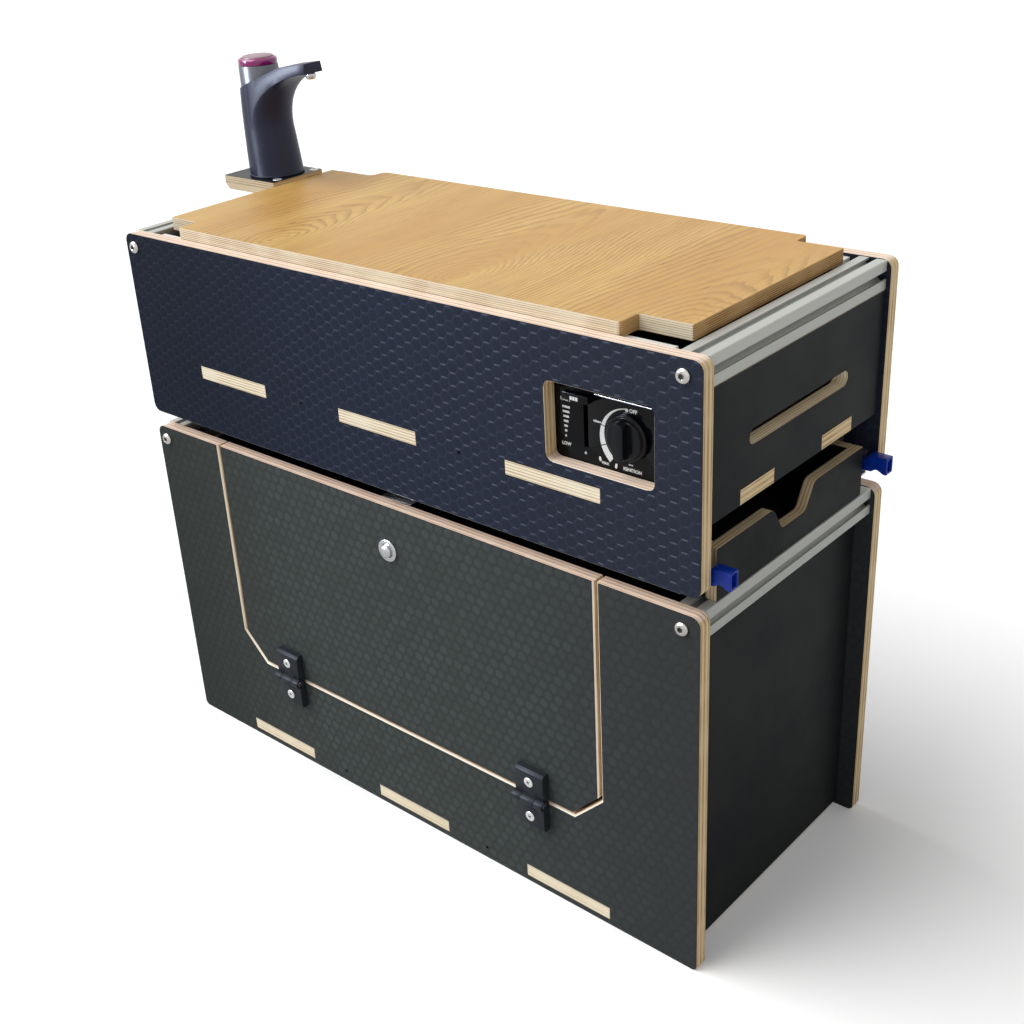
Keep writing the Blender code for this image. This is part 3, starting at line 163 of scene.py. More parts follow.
def makePlyLines():
    # the veneers seen on a cut edge, by depth through the board, with the film as a dark line on each face
    group, given, result = startGroup(
        "plyLines",
        {"Place": "Vector", "Depth": "Float", "Thickness": "Float", "Period": "Float", "Share": "Float",
         "Film": "Float", "Pale": "Color", "Brown": "Color", "FilmColor": "Color"},
        {"Color": "Color", "Lift": "Float"})
    place, depth = given["Place"], given["Depth"]
    wander = clouds(group, place, 9.0, 2.0)
    turns = maths(group, "DIVIDE", maths(group, "MULTIPLY_ADD", wander, 0.0009, depth), given["Period"])
    centred = maths(group, "ABSOLUTE", maths(group, "SUBTRACT", maths(group, "FRACT", turns), 0.5))
    halfShare = maths(group, "MULTIPLY", given["Share"], 0.5)
    blur = 0.09  # how softly the pale and brown layers meet
    outer, inner = [maths(group, way, halfShare, blur) for way in ("ADD", "SUBTRACT")]
    patchy = ease(group, clouds(group, place, 24.0, 2.0), 0.3, 0.62, 0.35, 1.0)
    brown = maths(group, "MULTIPLY", ease(group, centred, outer, inner), patchy)
    through = combine(group, maths(group, "MULTIPLY", depth, 60.0))
    fibres = clouds(group, vectors(group, "ADD", place, through), 42.0, 4.0, 0.65)
    whole = maths(group, "FLOOR", turns)
    layer = put(group, "TexWhiteNoise", {"W": whole}, noise_dimensions="1D").outputs[0]
    strength = maths(group, "MULTIPLY", brown, ease(group, fibres, 0.25, 0.6, 0.45, 1.0))
    wood = mix(group, strength, given["Pale"], given["Brown"])
    toned = maths(group, "ADD", maths(group, "MULTIPLY_ADD", fibres, 0.22, 0.87),
                  maths(group, "MULTIPLY_ADD", layer, 0.10, -0.05))
    grey = put(group, "CombineColor", {0: toned, 1: toned, 2: toned}).outputs[0]
    tinted = put(group, "Mix", {0: 1.0, 6: wood, 7: grey}, data_type="RGBA",
                 blend_type="MULTIPLY").outputs[2]
    far = maths(group, "SUBTRACT", given["Thickness"], depth)
    skin = maths(group, "LESS_THAN", maths(group, "MINIMUM", depth, far), given["Film"])
    plug(group, result["Color"], mix(group, skin, tinted, given["FilmColor"]))
    sunk = maths(group, "MULTIPLY", brown, -0.3)
    plug(group, result["Lift"], maths(group, "MULTIPLY_ADD", fibres, 0.7, sunk))
    return group


def makeSurfaceMarks():
    # soft clouds of tone, fine grain and a few long scuffs
    group, given, result = startGroup(
        "surfaceMarks", {"Place": "Vector", "Grain": "Float"},
        {"Cloud": "Float", "Grain": "Float", "Scuff": "Float"})
    place = given["Place"]
    plug(group, result["Cloud"], clouds(group, place, 7.0, 4.0, 0.6))
    plug(group, result["Grain"], clouds(group, place, maths(group, "DIVIDE", 1.0, given["Grain"]), 2.0))
    bent = vectors(group, "ADD", place, drift(group, place, 5.0))
    scuffs = clouds(group, stretch(group, bent, (28, 260, 150), (0.4, 0.7, 0.9)), 1.0, 2.0)
    plug(group, result["Scuff"], ease(group, scuffs, 0.66, 0.74))
    return group


hexCells = makeHexCells()
plyLines = makePlyLines()
surfaceMarks = makeSurfaceMarks()


# Finishes
filmSizes = {"wobbleScale": 60.0, "brokenScale": 55.0, "blur": 0.04, "backFrom": 0.02, "hatchSlope": 0.8,
             "grainRough": 0.12, "grainHeight": 0.25}


def startFinish(name, **constants):
    material = bpy.data.materials.new(name)
    material.use_nodes = True
    tree = material.node_tree
    shader = tree.nodes["Principled BSDF"]
    for socket, value in constants.items():
        shader.inputs[socket].default_value = value
    return material, tree, shader, put(tree, "TexCoord").outputs["Object"]


def bump(tree, shader, height, distance, strength=1.0):
    node = put(tree, "Bump", {"Height": height, "Distance": distance, "Strength": strength})
    plug(tree, shader.inputs["Normal"], node.outputs[0])


def hexFilm(name, settings):
    # phenolic film pressed with a six-sided pattern
    material, tree, shader, place = startFinish(name, **{"Specular IOR Level": settings["shine"]})
    parts = put(tree, "SeparateXYZ", {0: place}).outputs
    first, second = [parts[axis] for axis in settings["axes"]]
    wobble = vectors(tree, "MULTIPLY", drift(tree, place, filmSizes["wobbleScale"]),
                     (settings["wobble"],) * 3)
    flatPlace = vectors(tree, "ADD", combine(tree, first, second), wobble)
    cells = use(tree, hexCells, {"Place": flatPlace, "Pitch": settings["pitch"]})
    marks = use(tree, surfaceMarks, {"Place": place, "Grain": settings["grain"]})
    pillow = ease(tree, cells["Edge"], *settings["line"])
    tone = maths(tree, "MULTIPLY", pillow, ease(tree, cells["Cell"], 0.0, 1.0, settings["cellRange"], 1.0))
    colour = mix(tree, tone, paint(settings["lineColour"]), paint(settings["cellColour"]))
    cloudy = ease(tree, marks["Cloud"], 0.3, 0.7)
    colour = tint(tree, colour, cloudy, settings["cloud"], settings["cloudColour"])
    # painted shade and sheen: the navy film darker towards its left end and paler towards its right, the
    # grey film darker towards both ends
    for start, stop, shade, share in settings["wear"]:  # paler or darker towards the board's ends
        colour = mix(tree, ease(tree, parts[0], start, stop, 0.0, share), colour, paint(shade))
    outside = ease(tree, parts[1], filmSizes["backFrom"], 0.0)  # no hatch or glints on the back boards
    # the hatch pattern and the glints show only across the lit span towards the board's right end, a painted
    # sheen
    area = maths(tree, "MULTIPLY", ease(tree, parts[0], *settings["litSpan"], 0.1, 1.0), outside)
    slant = maths(tree, "ADD", maths(tree, "MULTIPLY", first, filmSizes["hatchSlope"]), second)
    hatch = maths(tree, "SINE", maths(tree, "MULTIPLY", slant, 2 * math.pi / settings["hatch"]))
    hatch = maths(tree, "MULTIPLY", ease(tree, hatch, -0.6, 0.9), area)
    # glints on the cells' flat edges are painted highlights
    reach, blur = settings["glintReach"], filmSizes["blur"]
    flatSide = ease(tree, cells["Flat"], reach - blur, reach + blur)
    nearEdge = ease(tree, cells["Edge"], settings["glintWidth"], 0.0)
    broken = ease(tree, clouds(tree, place, filmSizes["brokenScale"], 1.0), 0.36, 0.56)
    glint = maths(tree, "MULTIPLY", maths(tree, "MULTIPLY", flatSide, nearEdge), broken)
    glint = maths(tree, "MULTIPLY", glint, area)
    for mark, mask in (("hatch", hatch), ("glint", glint), ("speckle", marks["Grain"])):
        colour = tint(tree, colour, mask, settings[mark + "Share"], settings[mark + "Colour"])
    plug(tree, shader.inputs["Base Color"], colour)
    rough = ease(tree, marks["Cloud"], 0.25, 0.75, *settings["roughness"])
    rough = maths(tree, "MULTIPLY_ADD", marks["Grain"], filmSizes["grainRough"], rough)
    plug(tree, shader.inputs["Roughness"], rough)
    height = maths(tree, "MULTIPLY_ADD", marks["Grain"], filmSizes["grainHeight"], pillow)
    bump(tree, shader, height, settings["relief"])
    return material


def plyEdge(name, settings):
    material, tree, shader, place = startFinish(name, **{"Roughness": 0.62, "Specular IOR Level": 0.12})
    depth = put(tree, "Attribute", attribute_name="plyDepth").outputs["Fac"]
    lines = use(tree, plyLines, {
        "Place": place, "Depth": depth, "Thickness": settings["thickness"], "Period": settings["period"],
        "Share": settings["share"], "Film": settings["film"], "Pale": paint(settings["pale"]),
        "Brown": paint(settings["brown"]), "FilmColor": paint("1b1a19")})
    plug(tree, shader.inputs["Base Color"], lines["Color"])
    bump(tree, shader, lines["Lift"], 0.00012)
    return material


def plainFinish(name, settings):
    # moulded, coated or plated stuff: one colour with clouds, grain and scuffs
    material, tree, shader, place = startFinish(name, **{
        "Specular IOR Level": settings.get("shine", 0.5), "Metallic": settings.get("metal", 0.0),
        "Coat Weight": settings.get("coat", 0.0), "Coat Roughness": settings.get("coatRoughness", 0.03)})
    marks = use(tree, surfaceMarks, {"Place": stretch(tree, place, settings.get("stretch", (1, 1, 1))),
                                     "Grain": settings["grain"]})
    cloudy = ease(tree, marks["Cloud"], 0.3, 0.7)
    colour = mix(tree, cloudy, paint(settings["colour"]), paint(settings["second"]))
    colour = tint(tree, colour, marks["Grain"], settings["speckle"], settings["second"])
    scuff = settings.get("scuff", 0.0)
    if scuff:
        colour = tint(tree, colour, marks["Scuff"], scuff, settings["scuffColour"])
    plug(tree, shader.inputs["Base Color"], colour)
    rough = ease(tree, marks["Cloud"], 0.25, 0.75, *settings["roughness"])
    plug(tree, shader.inputs["Roughness"], maths(tree, "MULTIPLY_ADD", marks["Scuff"], scuff, rough))
    bump(tree, shader, marks["Grain"], settings["relief"])
    return material


hexNavy = hexFilm("hexNavy", {
    "pitch": 0.0134, "axes": (2, 0), "wobble": 0.0010, "line": (0.02, 0.16), "cellRange": 0.8,
    "lineColour": "2e3548", "cellColour": "1f2636", "cloud": 0.3, "cloudColour": "222a40", "grain": 0.0016,
    "glintShare": 0.55, "glintColour": "878da3", "glintWidth": 0.085, "glintReach": 0.03,
    "litSpan": (-0.22, 0.16), "hatch": 0.0026, "hatchShare": 0.5, "hatchColour": "474d5e",
    # painted shade towards the left end, painted sheen towards the right end
    "wear": ((-0.05, -0.36, "0e1320", 0.7), (0.05, 0.4, "35373e", 0.35)),
    "speckleShare": 0.5, "speckleColour": "141a2a", "roughness": (0.4, 0.5), "relief": 0.00025,
    "shine": 0.04})
hexGrey = hexFilm("hexGrey", {
    "pitch": 0.0133, "axes": (0, 2), "wobble": 0.0012, "line": (0.0, 0.26), "cellRange": 0.45,
    "lineColour": "3b403f", "cellColour": "4d5453", "cloud": 0.35, "cloudColour": "434846", "grain": 0.0014,
    # painted shade towards both ends
    "wear": ((-0.12, -0.42, "262a25", 0.75), (0.10, 0.42, "343438", 0.75)),
    "glintShare": 0.0, "glintColour": "6a7272", "glintWidth": 0.05, "glintReach": 0.05,
    "litSpan": (-2.0, -1.0), "hatch": 0.0030, "hatchShare": 0.12, "hatchColour": "343a39",
    "speckleShare": 0.3, "speckleColour": "343938", "roughness": (0.46, 0.6), "relief": 0.0002,
    "shine": 0.06})
plyLong = plyEdge("plyLong", {"thickness": 0.016, "period": 0.0052, "share": 0.34, "film": 0.00045,
                              "pale": "f6e2cf", "brown": "c8a58c"})
# a darker copy of the ply edge for edges facing along X: painted shade
plyEnd = plyEdge("plyEnd", {"thickness": 0.016, "period": 0.0056, "share": 0.4, "film": 0.0005,
                            "pale": "ecd2a6", "brown": "b18f60"})
# the palest copy of the ply edge, for the tabs and end boards; on the handle slot's floor its paleness is a
# painted highlight
plyTab = plyEdge("plyTab", {"thickness": 0.016, "period": 0.0033, "share": 0.3, "film": 0.00035,
                            "pale": "fdf2d8", "brown": "c29d6c"})
# the chamfered rims show pale ply, made paler still as a painted highlight
plyRim = plyEdge("plyRim", {"thickness": 0.016, "period": 0.0052, "share": 0.15, "film": 0.0,
                            "pale": "fff6e6", "brown": "e2c8a2"})
trayEdge = plyEdge("trayEdge", {"thickness": 0.012, "period": 0.0036, "share": 0.36, "film": 0.0004,
                                "pale": "e0cba6", "brown": "a98b62"})
oakFrontEdge = plyEdge("oakFrontEdge", {"thickness": 0.015, "period": 0.0021, "share": 0.42, "film": 0.0,
                                        "pale": "f3e8cf", "brown": "b48f5e"})
# a darker copy of the oak edge for the worktop's edges facing along X: painted shade
oakEndEdgeShaded = plyEdge("oakEndEdgeShaded", {"thickness": 0.015, "period": 0.0021, "share": 0.5, "film": 0.0,
                                    "pale": "d5ad77", "brown": "8a5f36"})
shelfEdge = plyEdge("shelfEdge", {"thickness": 0.0086, "period": 0.0028, "share": 0.35, "film": 0.0002,
                                  "pale": "e2d0b0", "brown": "ab8d64"})
smoothBlack = plainFinish("smoothBlack", {
    "colour": "232424", "second": "191c1e", "grain": 0.0009, "speckle": 0.3, "scuff": 0.04,
    "scuffColour": "3c3d3c", "roughness": (0.42, 0.55), "relief": 0.00002,
    "shine": 0.08})
darkTextured = plainFinish("darkTextured", {
    "colour": "252827", "second": "141716", "grain": 0.0024, "speckle": 0.7, "scuff": 0.03,
    "scuffColour": "3c3e3c", "roughness": (0.45, 0.6), "relief": 0.0002,
    "shine": 0.08})
birchFace = plainFinish("birchFace", {
    "colour": "e6d3b2", "second": "d8c19a", "grain": 0.0012, "speckle": 0.3, "roughness": (0.55, 0.65),
    "relief": 0.00005, "stretch": (0.15, 1, 1), "shine": 0.3})
# a darker grey for the walls and floors of sockets and screw crosses: painted shade in the recesses
paintedSocketShade = plainFinish("paintedSocketShade", {
    "colour": "767678", "second": "5c5c5e", "grain": 0.0006, "speckle": 0.2, "roughness": (0.5, 0.6),
    "relief": 0.00001, "shine": 0.2})
shelfBlack = plainFinish("shelfBlack", {
    "colour": "141517", "second": "1b1c1f", "grain": 0.0020, "speckle": 0.3, "roughness": (0.3, 0.4),
    "relief": 0.00004, "shine": 0.15})
anodised = plainFinish("anodised", {
    "colour": "c4c5bf", "second": "b4b6b0", "grain": 0.0005, "speckle": 0.3, "scuff": 0.1,
    "scuffColour": "dededa", "roughness": (0.42, 0.52), "relief": 0.00001, "stretch": (1, 0.06, 1),
    "metal": 0.35, "shine": 0.3})
zincPlate = plainFinish("zincPlate", {
    "colour": "b9bcbf", "second": "a4a8ac", "grain": 0.0012, "speckle": 0.3, "scuff": 0.15,
    "scuffColour": "d8dadb", "roughness": (0.28, 0.42), "relief": 0.00001, "metal": 0.9})
stainless = plainFinish("stainless", {
    "colour": "d6d3cd", "second": "c2beb7", "grain": 0.0005, "speckle": 0.25, "scuff": 0.1,
    "scuffColour": "efece6", "roughness": (0.16, 0.28), "relief": 0.000005, "metal": 1.0})
satinChrome = plainFinish("satinChrome", {
    "colour": "cfd0d2", "second": "bcbdc0", "grain": 0.0006, "speckle": 0.2, "scuff": 0.08,
    "scuffColour": "ececec", "roughness": (0.18, 0.3), "relief": 0.000005, "metal": 1.0})
lockGrey = plainFinish("lockGrey", {
    "colour": "64676a", "second": "515457", "grain": 0.0011, "speckle": 0.4, "scuff": 0.05,
    "scuffColour": "8a8c8e", "roughness": (0.45, 0.55), "relief": 0.00004, "metal": 0.3})
hingeBlack = plainFinish("hingeBlack", {
    "colour": "2f3338", "second": "25282f", "grain": 0.0008, "speckle": 0.4, "roughness": (0.38, 0.5),
    "relief": 0.00004, "shine": 0.12})
screwZinc = plainFinish("screwZinc", {
    "colour": "f2f2f0", "second": "dededc", "grain": 0.0009, "speckle": 0.2, "scuff": 0.1,
    "scuffColour": "ffffff", "roughness": (0.28, 0.4), "relief": 0.00001, "metal": 0.5})
glossBlack = plainFinish("glossBlack", {
    "colour": "07080b", "second": "0c0e12", "grain": 0.0025, "speckle": 0.1, "scuff": 0.02,
    "scuffColour": "26272a", "roughness": (0.1, 0.16), "relief": 0.000004,
    "shine": 0.16})
castBlack = plainFinish("castBlack", {
    "colour": "17181a", "second": "202124", "grain": 0.0009, "speckle": 0.5, "roughness": (0.4, 0.55),
    "relief": 0.00006})
bluePlastic = plainFinish("bluePlastic", {
    "colour": "0436aa", "second": "042c8e", "grain": 0.0012, "speckle": 0.2, "scuff": 0.05,
    "scuffColour": "3f6fd8", "roughness": (0.22, 0.34), "relief": 0.00002,
    "shine": 0.3})
whitePlastic = plainFinish("whitePlastic", {
    "colour": "eceae6", "second": "dedcd8", "grain": 0.001, "speckle": 0.2, "scuff": 0.05,
    "scuffColour": "c9c7c2", "roughness": (0.35, 0.48), "relief": 0.00001})
tapNavy = plainFinish("tapNavy", {
    "colour": "272b46", "second": "1e2136", "grain": 0.0007, "speckle": 0.35, "scuff": 0.03,
    "scuffColour": "50556c", "roughness": (0.32, 0.40), "relief": 0.00003,
    "shine": 0.25})
knobBlack = plainFinish("knobBlack", {
    "colour": "05070e", "second": "080b13", "grain": 0.0009, "speckle": 0.2, "scuff": 0.02,
    "scuffColour": "26272a", "roughness": (0.16, 0.24), "relief": 0.00001,
    "shine": 0.22})
tapNeck = plainFinish("tapNeck", {
    "colour": "7d7e85", "second": "66676e", "grain": 0.0006, "speckle": 0.3, "roughness": (0.3, 0.38),
    "relief": 0.00001, "metal": 0.35, "shine": 0.2})
magentaPlastic = plainFinish("magentaPlastic", {
    "colour": "a3137c", "second": "8d0d6a", "grain": 0.001, "speckle": 0.2, "roughness": (0.12, 0.2),
    "relief": 0.000005, "coat": 0.5, "coatRoughness": 0.08})
# a grey disc with a painted reflection of the magenta ring in its colour
tapDisc = plainFinish("tapDisc", {
    "colour": "a98a96", "second": "94757f", "grain": 0.0008, "speckle": 0.3, "roughness": (0.35, 0.45),
    "relief": 0.00001})
printWhite = plainFinish("printWhite", {
    "colour": "eef0f0", "second": "dfe2e2", "grain": 0.0006, "speckle": 0.15, "roughness": (0.4, 0.5),
    "relief": 0.000005})


def oakVeneer():
    # flat-sawn leaves laid side by side: arches over the middle of each leaf, straight grain at its sides
    sizes = {"leaf": 0.265, "centre": 0.090, "ringStart": 0.034, "reach": 0.085, "fade": 0.150,
             "wide": 0.0085, "narrow": 0.0044, "warp": (0.030, 0.060, 0), "ragged": 1.5,
             "pale": "dab46a", "deep": "c99b54", "fibre": "b38748", "line": "986c34", "pore": "7d5528"}
    material, tree, shader, place = startFinish("oakVeneer", **{"Specular IOR Level": 0.35})
    warp = drift(tree, stretch(tree, place, (1, 0.5, 1)), 9.0, 3.0)
    warp = vectors(tree, "MULTIPLY", vectors(tree, "SUBTRACT", warp, (0.5, 0.5, 0.5)), sizes["warp"])
    parts = put(tree, "SeparateXYZ", {0: vectors(tree, "ADD", place, warp)}).outputs
    half = sizes["leaf"] / 2
    across = maths(tree, "WRAP", maths(tree, "SUBTRACT", parts[0], sizes["centre"]), half, -half)
    along = maths(tree, "SUBTRACT", parts[1], sizes["ringStart"])
    decay = maths(tree, "EXPONENT", maths(tree, "DIVIDE", along, -sizes["fade"]))
    rise = maths(tree, "MULTIPLY", maths(tree, "SUBTRACT", 1.0, decay), sizes["reach"])
    squares = [maths(tree, "MULTIPLY", part, part) for part in (across, rise)]
    ring = maths(tree, "SQRT", maths(tree, "ADD", *squares))
    spacing = ease(tree, across, -0.07, 0.06, sizes["wide"], sizes["narrow"])
    ragged = clouds(tree, stretch(tree, place, (60, 7, 1)), 1.0, 4.0, 0.6)
    turns = maths(tree, "MULTIPLY_ADD", ragged, sizes["ragged"], maths(tree, "DIVIDE", ring, spacing))
    saw = maths(tree, "FRACT", turns)
    line = maths(tree, "MULTIPLY", ease(tree, saw, 0.35, 0.95), ease(tree, saw, 1.0, 0.95))
    patch = ease(tree, clouds(tree, stretch(tree, place, (14, 3, 1)), 1.0, 2.0), 0.35, 0.62, 0.22, 1.0)
    line = maths(tree, "MULTIPLY", line, patch)
    fibre = clouds(tree, stretch(tree, place, (420, 14, 1)), 1.0, 5.0, 0.7)
    pores = ease(tree, clouds(tree, stretch(tree, place, (900, 38, 1)), 1.0, 2.0), 0.6, 0.72)
    broad = clouds(tree, stretch(tree, place, (16, 2.6, 1), (0, 0, 0.12)), 1.0, 3.0)
    body = mix(tree, ease(tree, broad, 0.3, 0.7), paint(sizes["deep"]), paint(sizes["pale"]))
    body = tint(tree, body, ease(tree, fibre, 0.35, 0.7), 0.52, sizes["fibre"])
    body = tint(tree, body, line, 0.55, sizes["line"])
    body = tint(tree, body, pores, maths(tree, "MULTIPLY_ADD", line, 0.5, 0.22), sizes["pore"])
    plug(tree, shader.inputs["Base Color"], body)
    plug(tree, shader.inputs["Roughness"], ease(tree, fibre, 0.2, 0.8, 0.5, 0.38))
    bump(tree, shader, maths(tree, "SUBTRACT", maths(tree, "MULTIPLY", fibre, 0.5), pores), 0.00005)
    return material


oakTop = oakVeneer()
print("finishes made")


# Modelling helpers
def deselectAll():
    if bpy.context.mode != "OBJECT":
        bpy.ops.object.mode_set(mode="OBJECT")
    bpy.ops.object.select_all(action="DESELECT")


def work(piece):
    deselectAll()
    piece.select_set(True)
    bpy.context.view_layer.objects.active = piece


def startPick(piece, kind):
    # clears what edit mode has selected, and goes back to where code can select by place
    work(piece)
    bpy.ops.object.mode_set(mode="EDIT")
    bpy.ops.mesh.select_mode(type=kind)
    bpy.ops.mesh.select_all(action="DESELECT")
    bpy.ops.object.mode_set(mode="OBJECT")


def pickFaces(piece, test):  # each of these opens edit mode with only what passes selected
    startPick(piece, "FACE")
    for face in piece.data.polygons:
        face.select = test(face)
    bpy.ops.object.mode_set(mode="EDIT")


def pickPoints(piece, test):
    startPick(piece, "VERT")
    for point in piece.data.vertices:
        point.select = test(point.co)
    bpy.ops.object.mode_set(mode="EDIT")


def pickEdges(piece, test):
    startPick(piece, "EDGE")
    points = piece.data.vertices
    for edge in piece.data.edges:
        edge.select = test(points[edge.vertices[0]].co, points[edge.vertices[1]].co)
    bpy.ops.object.mode_set(mode="EDIT")


def bevelEdges(piece, test, width, segments=1):
    pickEdges(piece, test)
    bpy.ops.mesh.bevel(offset=width, segments=segments, affect="EDGES")
    bpy.ops.object.mode_set(mode="OBJECT")


def modify(piece, kind, **settings):
    work(piece)
    bpy.ops.object.modifier_add(type=kind)
    modifier = piece.modifiers[-1]
    for name, value in settings.items():
        setattr(modifier, name, value)
    bpy.ops.object.modifier_apply(modifier=modifier.name)


def soften(piece, width, segments=2, angle=sharpAngle):
    modify(piece, "BEVEL", width=width, segments=segments, limit_method="ANGLE", angle_limit=angle,
           use_clamp_overlap=True, miter_outer="MITER_ARC")


def smooth(piece, angle=sharpAngle):
    work(piece)
    bpy.ops.object.shade_smooth_by_angle(angle=angle)


def cut(piece, tool, operation="DIFFERENCE"):
    modify(piece, "BOOLEAN", object=tool, operation=operation, solver="EXACT")
    work(tool)
    bpy.ops.object.delete()


def nudge(piece, test, move):
    pickPoints(piece, test)
    bpy.ops.transform.translate(value=move)
    bpy.ops.object.mode_set(mode="OBJECT")


def splitAt(piece, spot, normal, keep=None):
    # a loop where a plane meets the piece, or a cut that keeps one side and is filled
    work(piece)
    bpy.ops.object.mode_set(mode="EDIT")
    bpy.ops.mesh.select_all(action="SELECT")
    bpy.ops.mesh.bisect(plane_co=spot, plane_no=normal, use_fill=keep is not None,
                        clear_inner=keep == "outer", clear_outer=keep == "inner")
    bpy.ops.object.mode_set(mode="OBJECT")


def block(name, low, high):
    deselectAll()
    middle = [(a + b) / 2 for a, b in zip(low, high)]
    span = [b - a for a, b in zip(low, high)]
    bpy.ops.mesh.primitive_cube_add(size=1, location=middle, scale=span)
    piece = bpy.context.active_object
    piece.name = name
    fixPlace(piece)
    return piece


def fixPlace(piece):
    work(piece)
    bpy.ops.object.transform_apply(location=True, rotation=True, scale=True)


def coat(piece, *finishes):
    piece.data.materials.clear()
    for finish in finishes:
        piece.data.materials.append(finish)


def standFor(piece, node):
    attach(piece, bodyOf[node])
    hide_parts(node)


def addTo(piece, node):  # a small piece carried by the same body as a node
    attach(piece, bodyOf[node])


def pieceName(node):
    first, *others = node.split("_")
    return first + "".join(word.capitalize() for word in others)


def copyOf(node):
    # a merged copy of a frame node's mesh, to be shaped further
    piece = bpy.data.objects.new(pieceName(node), frame["nodes"][node].data.copy())
    bpy.context.collection.objects.link(piece)
    work(piece)
    bpy.ops.mesh.customdata_custom_splitnormals_clear()
    bpy.ops.object.mode_set(mode="EDIT")
    bpy.ops.mesh.select_mode(type="VERT")
    bpy.ops.mesh.select_all(action="SELECT")
    bpy.ops.mesh.remove_doubles(threshold=mergeGap)
    bpy.ops.mesh.mark_sharp(clear=True)
    bpy.ops.mesh.dissolve_limited(angle_limit=flatAngle)
    bpy.ops.object.mode_set(mode="OBJECT")
    return piece


def turnPiece(name, profile, sides, lean=0.0):
    # a round piece raised from a disc ring by ring; the profile is (radius, height) from its foot
    deselectAll()
    radius, height = profile[0]
    bpy.ops.mesh.primitive_circle_add(vertices=sides, radius=radius, location=(0, 0, height),
                                      fill_type="NGON")
    piece = bpy.context.active_object
    piece.name = name
    fixPlace(piece)
    bpy.ops.object.mode_set(mode="EDIT")
    bpy.ops.mesh.select_mode(type="FACE")
    bpy.ops.mesh.select_all(action="SELECT")
    for nextRadius, nextHeight in profile[1:]:
        rise = nextHeight - height
        bpy.ops.mesh.extrude_region_move(TRANSFORM_OT_translate={"value": (-lean * rise, 0, rise)})
        share = nextRadius / radius
        middle = (-lean * (nextHeight - profile[0][1]), 0, nextHeight)
        bpy.ops.transform.resize(value=(share, share, 1), center_override=middle)
        radius, height = nextRadius, nextHeight
    bpy.ops.mesh.select_all(action="SELECT")
    bpy.ops.mesh.normals_make_consistent(inside=False)
    bpy.ops.object.mode_set(mode="OBJECT")
    return piece


def copyPiece(piece, name):
    twin = bpy.data.objects.new(name, piece.data.copy())
    bpy.context.collection.objects.link(twin)
    return twin


def place(piece, spot, turn=(0, 0, 0)):
    piece.rotation_euler = Euler([math.radians(a) for a in turn])
    piece.location = spot
    fixPlace(piece)


# Boards: film or veneer on the two faces, plywood lines on the edges
boardSizes = {"soft": 0.0004, "traySoft": 0.0003, "topSoft": 0.0005, "plateSoft": 0.0002, "armSoft": 0.0001,
              "armTop": 0.6721, "armRise": 0.0003, "rim": 0.000002, "faceTurn": 0.93, "rimTurn": (0.6, 0.8)}
chamferSizes = {"door": 0.0020, "doorSide": 0.279, "doorArea": ((-0.3, 0.1), (0.3, 0.43)),
                "opening": 0.0026, "openingArea": ((-0.2840, 0.12), (0.2840, 0.43)),
                "window": 0.0008, "windowArea": ((0.2280, 0.532), (0.3510, 0.614))}


def makeBoard(node, axis, settings):
    piece = copyOf(node)
    for width, test in settings.get("chamfers", ()):
        bevelEdges(piece, test, width)
    if "lengthen" in settings:
        nudge(piece, *settings["lengthen"])
    soften(piece, settings["soft"])
    depth = piece.data.attributes.new("plyDepth", "FLOAT", "POINT")
    low = min(vertex.co[axis] for vertex in piece.data.vertices)
    for vertex in piece.data.vertices:
        depth.data[vertex.index].value = vertex.co[axis] - low
    first, second = [n for n in (0, 1, 2) if n != axis]
    shallow, steep = boardSizes["rimTurn"]
    # on most boards the edges facing along X take a darker copy (painted shade) and chamfered rims a paler
    # one (painted highlight)
    coat(piece, settings["face"], *settings["edges"], plyRim)
    for face in piece.data.polygons:
        along = abs(face.normal[axis])
        if along > boardSizes["faceTurn"]:
            face.material_index = 0
        elif "rim" in settings and shallow < along < steep and face.area > settings["rim"]:
            face.material_index = 3
        else:
            face.material_index = 1 if abs(face.normal[first]) > abs(face.normal[second]) else 2
    smooth(piece)
    modify(piece, "WEIGHTED_NORMAL", keep_sharp=True)
    standFor(piece, node)


def onFront(first, second, low, high):  # an edge on the front face, inside the (x, z) box
    return all(abs(p.y - frontFace) < nearGap and low[0] < p.x < high[0] and low[1] < p.z < high[1]
               for p in (first, second))


def doorSides(first, second):
    upright = abs(first.x - second.x) < nearGap and abs(first.x) > chamferSizes["doorSide"]
    return upright and onFront(first, second, *chamferSizes["doorArea"])


def openingRim(first, second):
    return onFront(first, second, *chamferSizes["openingArea"])


def windowRim(first, second):
    return onFront(first, second, *chamferSizes["windowArea"])


boardChamfers = {"lower_front_panel": ((chamferSizes["opening"], openingRim),),
                 "upper_front_panel": ((chamferSizes["window"], windowRim),)}
plain = {"soft": boardSizes["soft"], "face": smoothBlack}
for unit, film in (("lower", hexGrey), ("upper", hexNavy)):
    faced = {"soft": boardSizes["soft"], "rim": boardSizes["rim"], "face": film, "edges": (plyEnd, plyLong)}
    for side in ("front", "back"):
        node = f"{unit}_{side}_panel"
        makeBoard(node, 1, {**faced, "chamfers": boardChamfers.get(node, ())})
    for side in ("left", "right"):
        makeBoard(f"{unit}_{side}_end_panel", 0, {**plain, "edges": (plyTab, plyTab)})
    makeBoard(f"{unit}_floor_board", 2, {**plain, "edges": (plyEnd, plyTab)})
makeBoard("door_panel", 1, {"soft": boardSizes["soft"], "rim": boardSizes["rim"], "face": hexGrey,
                            "edges": (plyEnd, plyLong), "chamfers": ((chamferSizes["door"], doorSides),)})
tray = {"soft": boardSizes["traySoft"], "face": darkTextured, "edges": (trayEdge, trayEdge)}
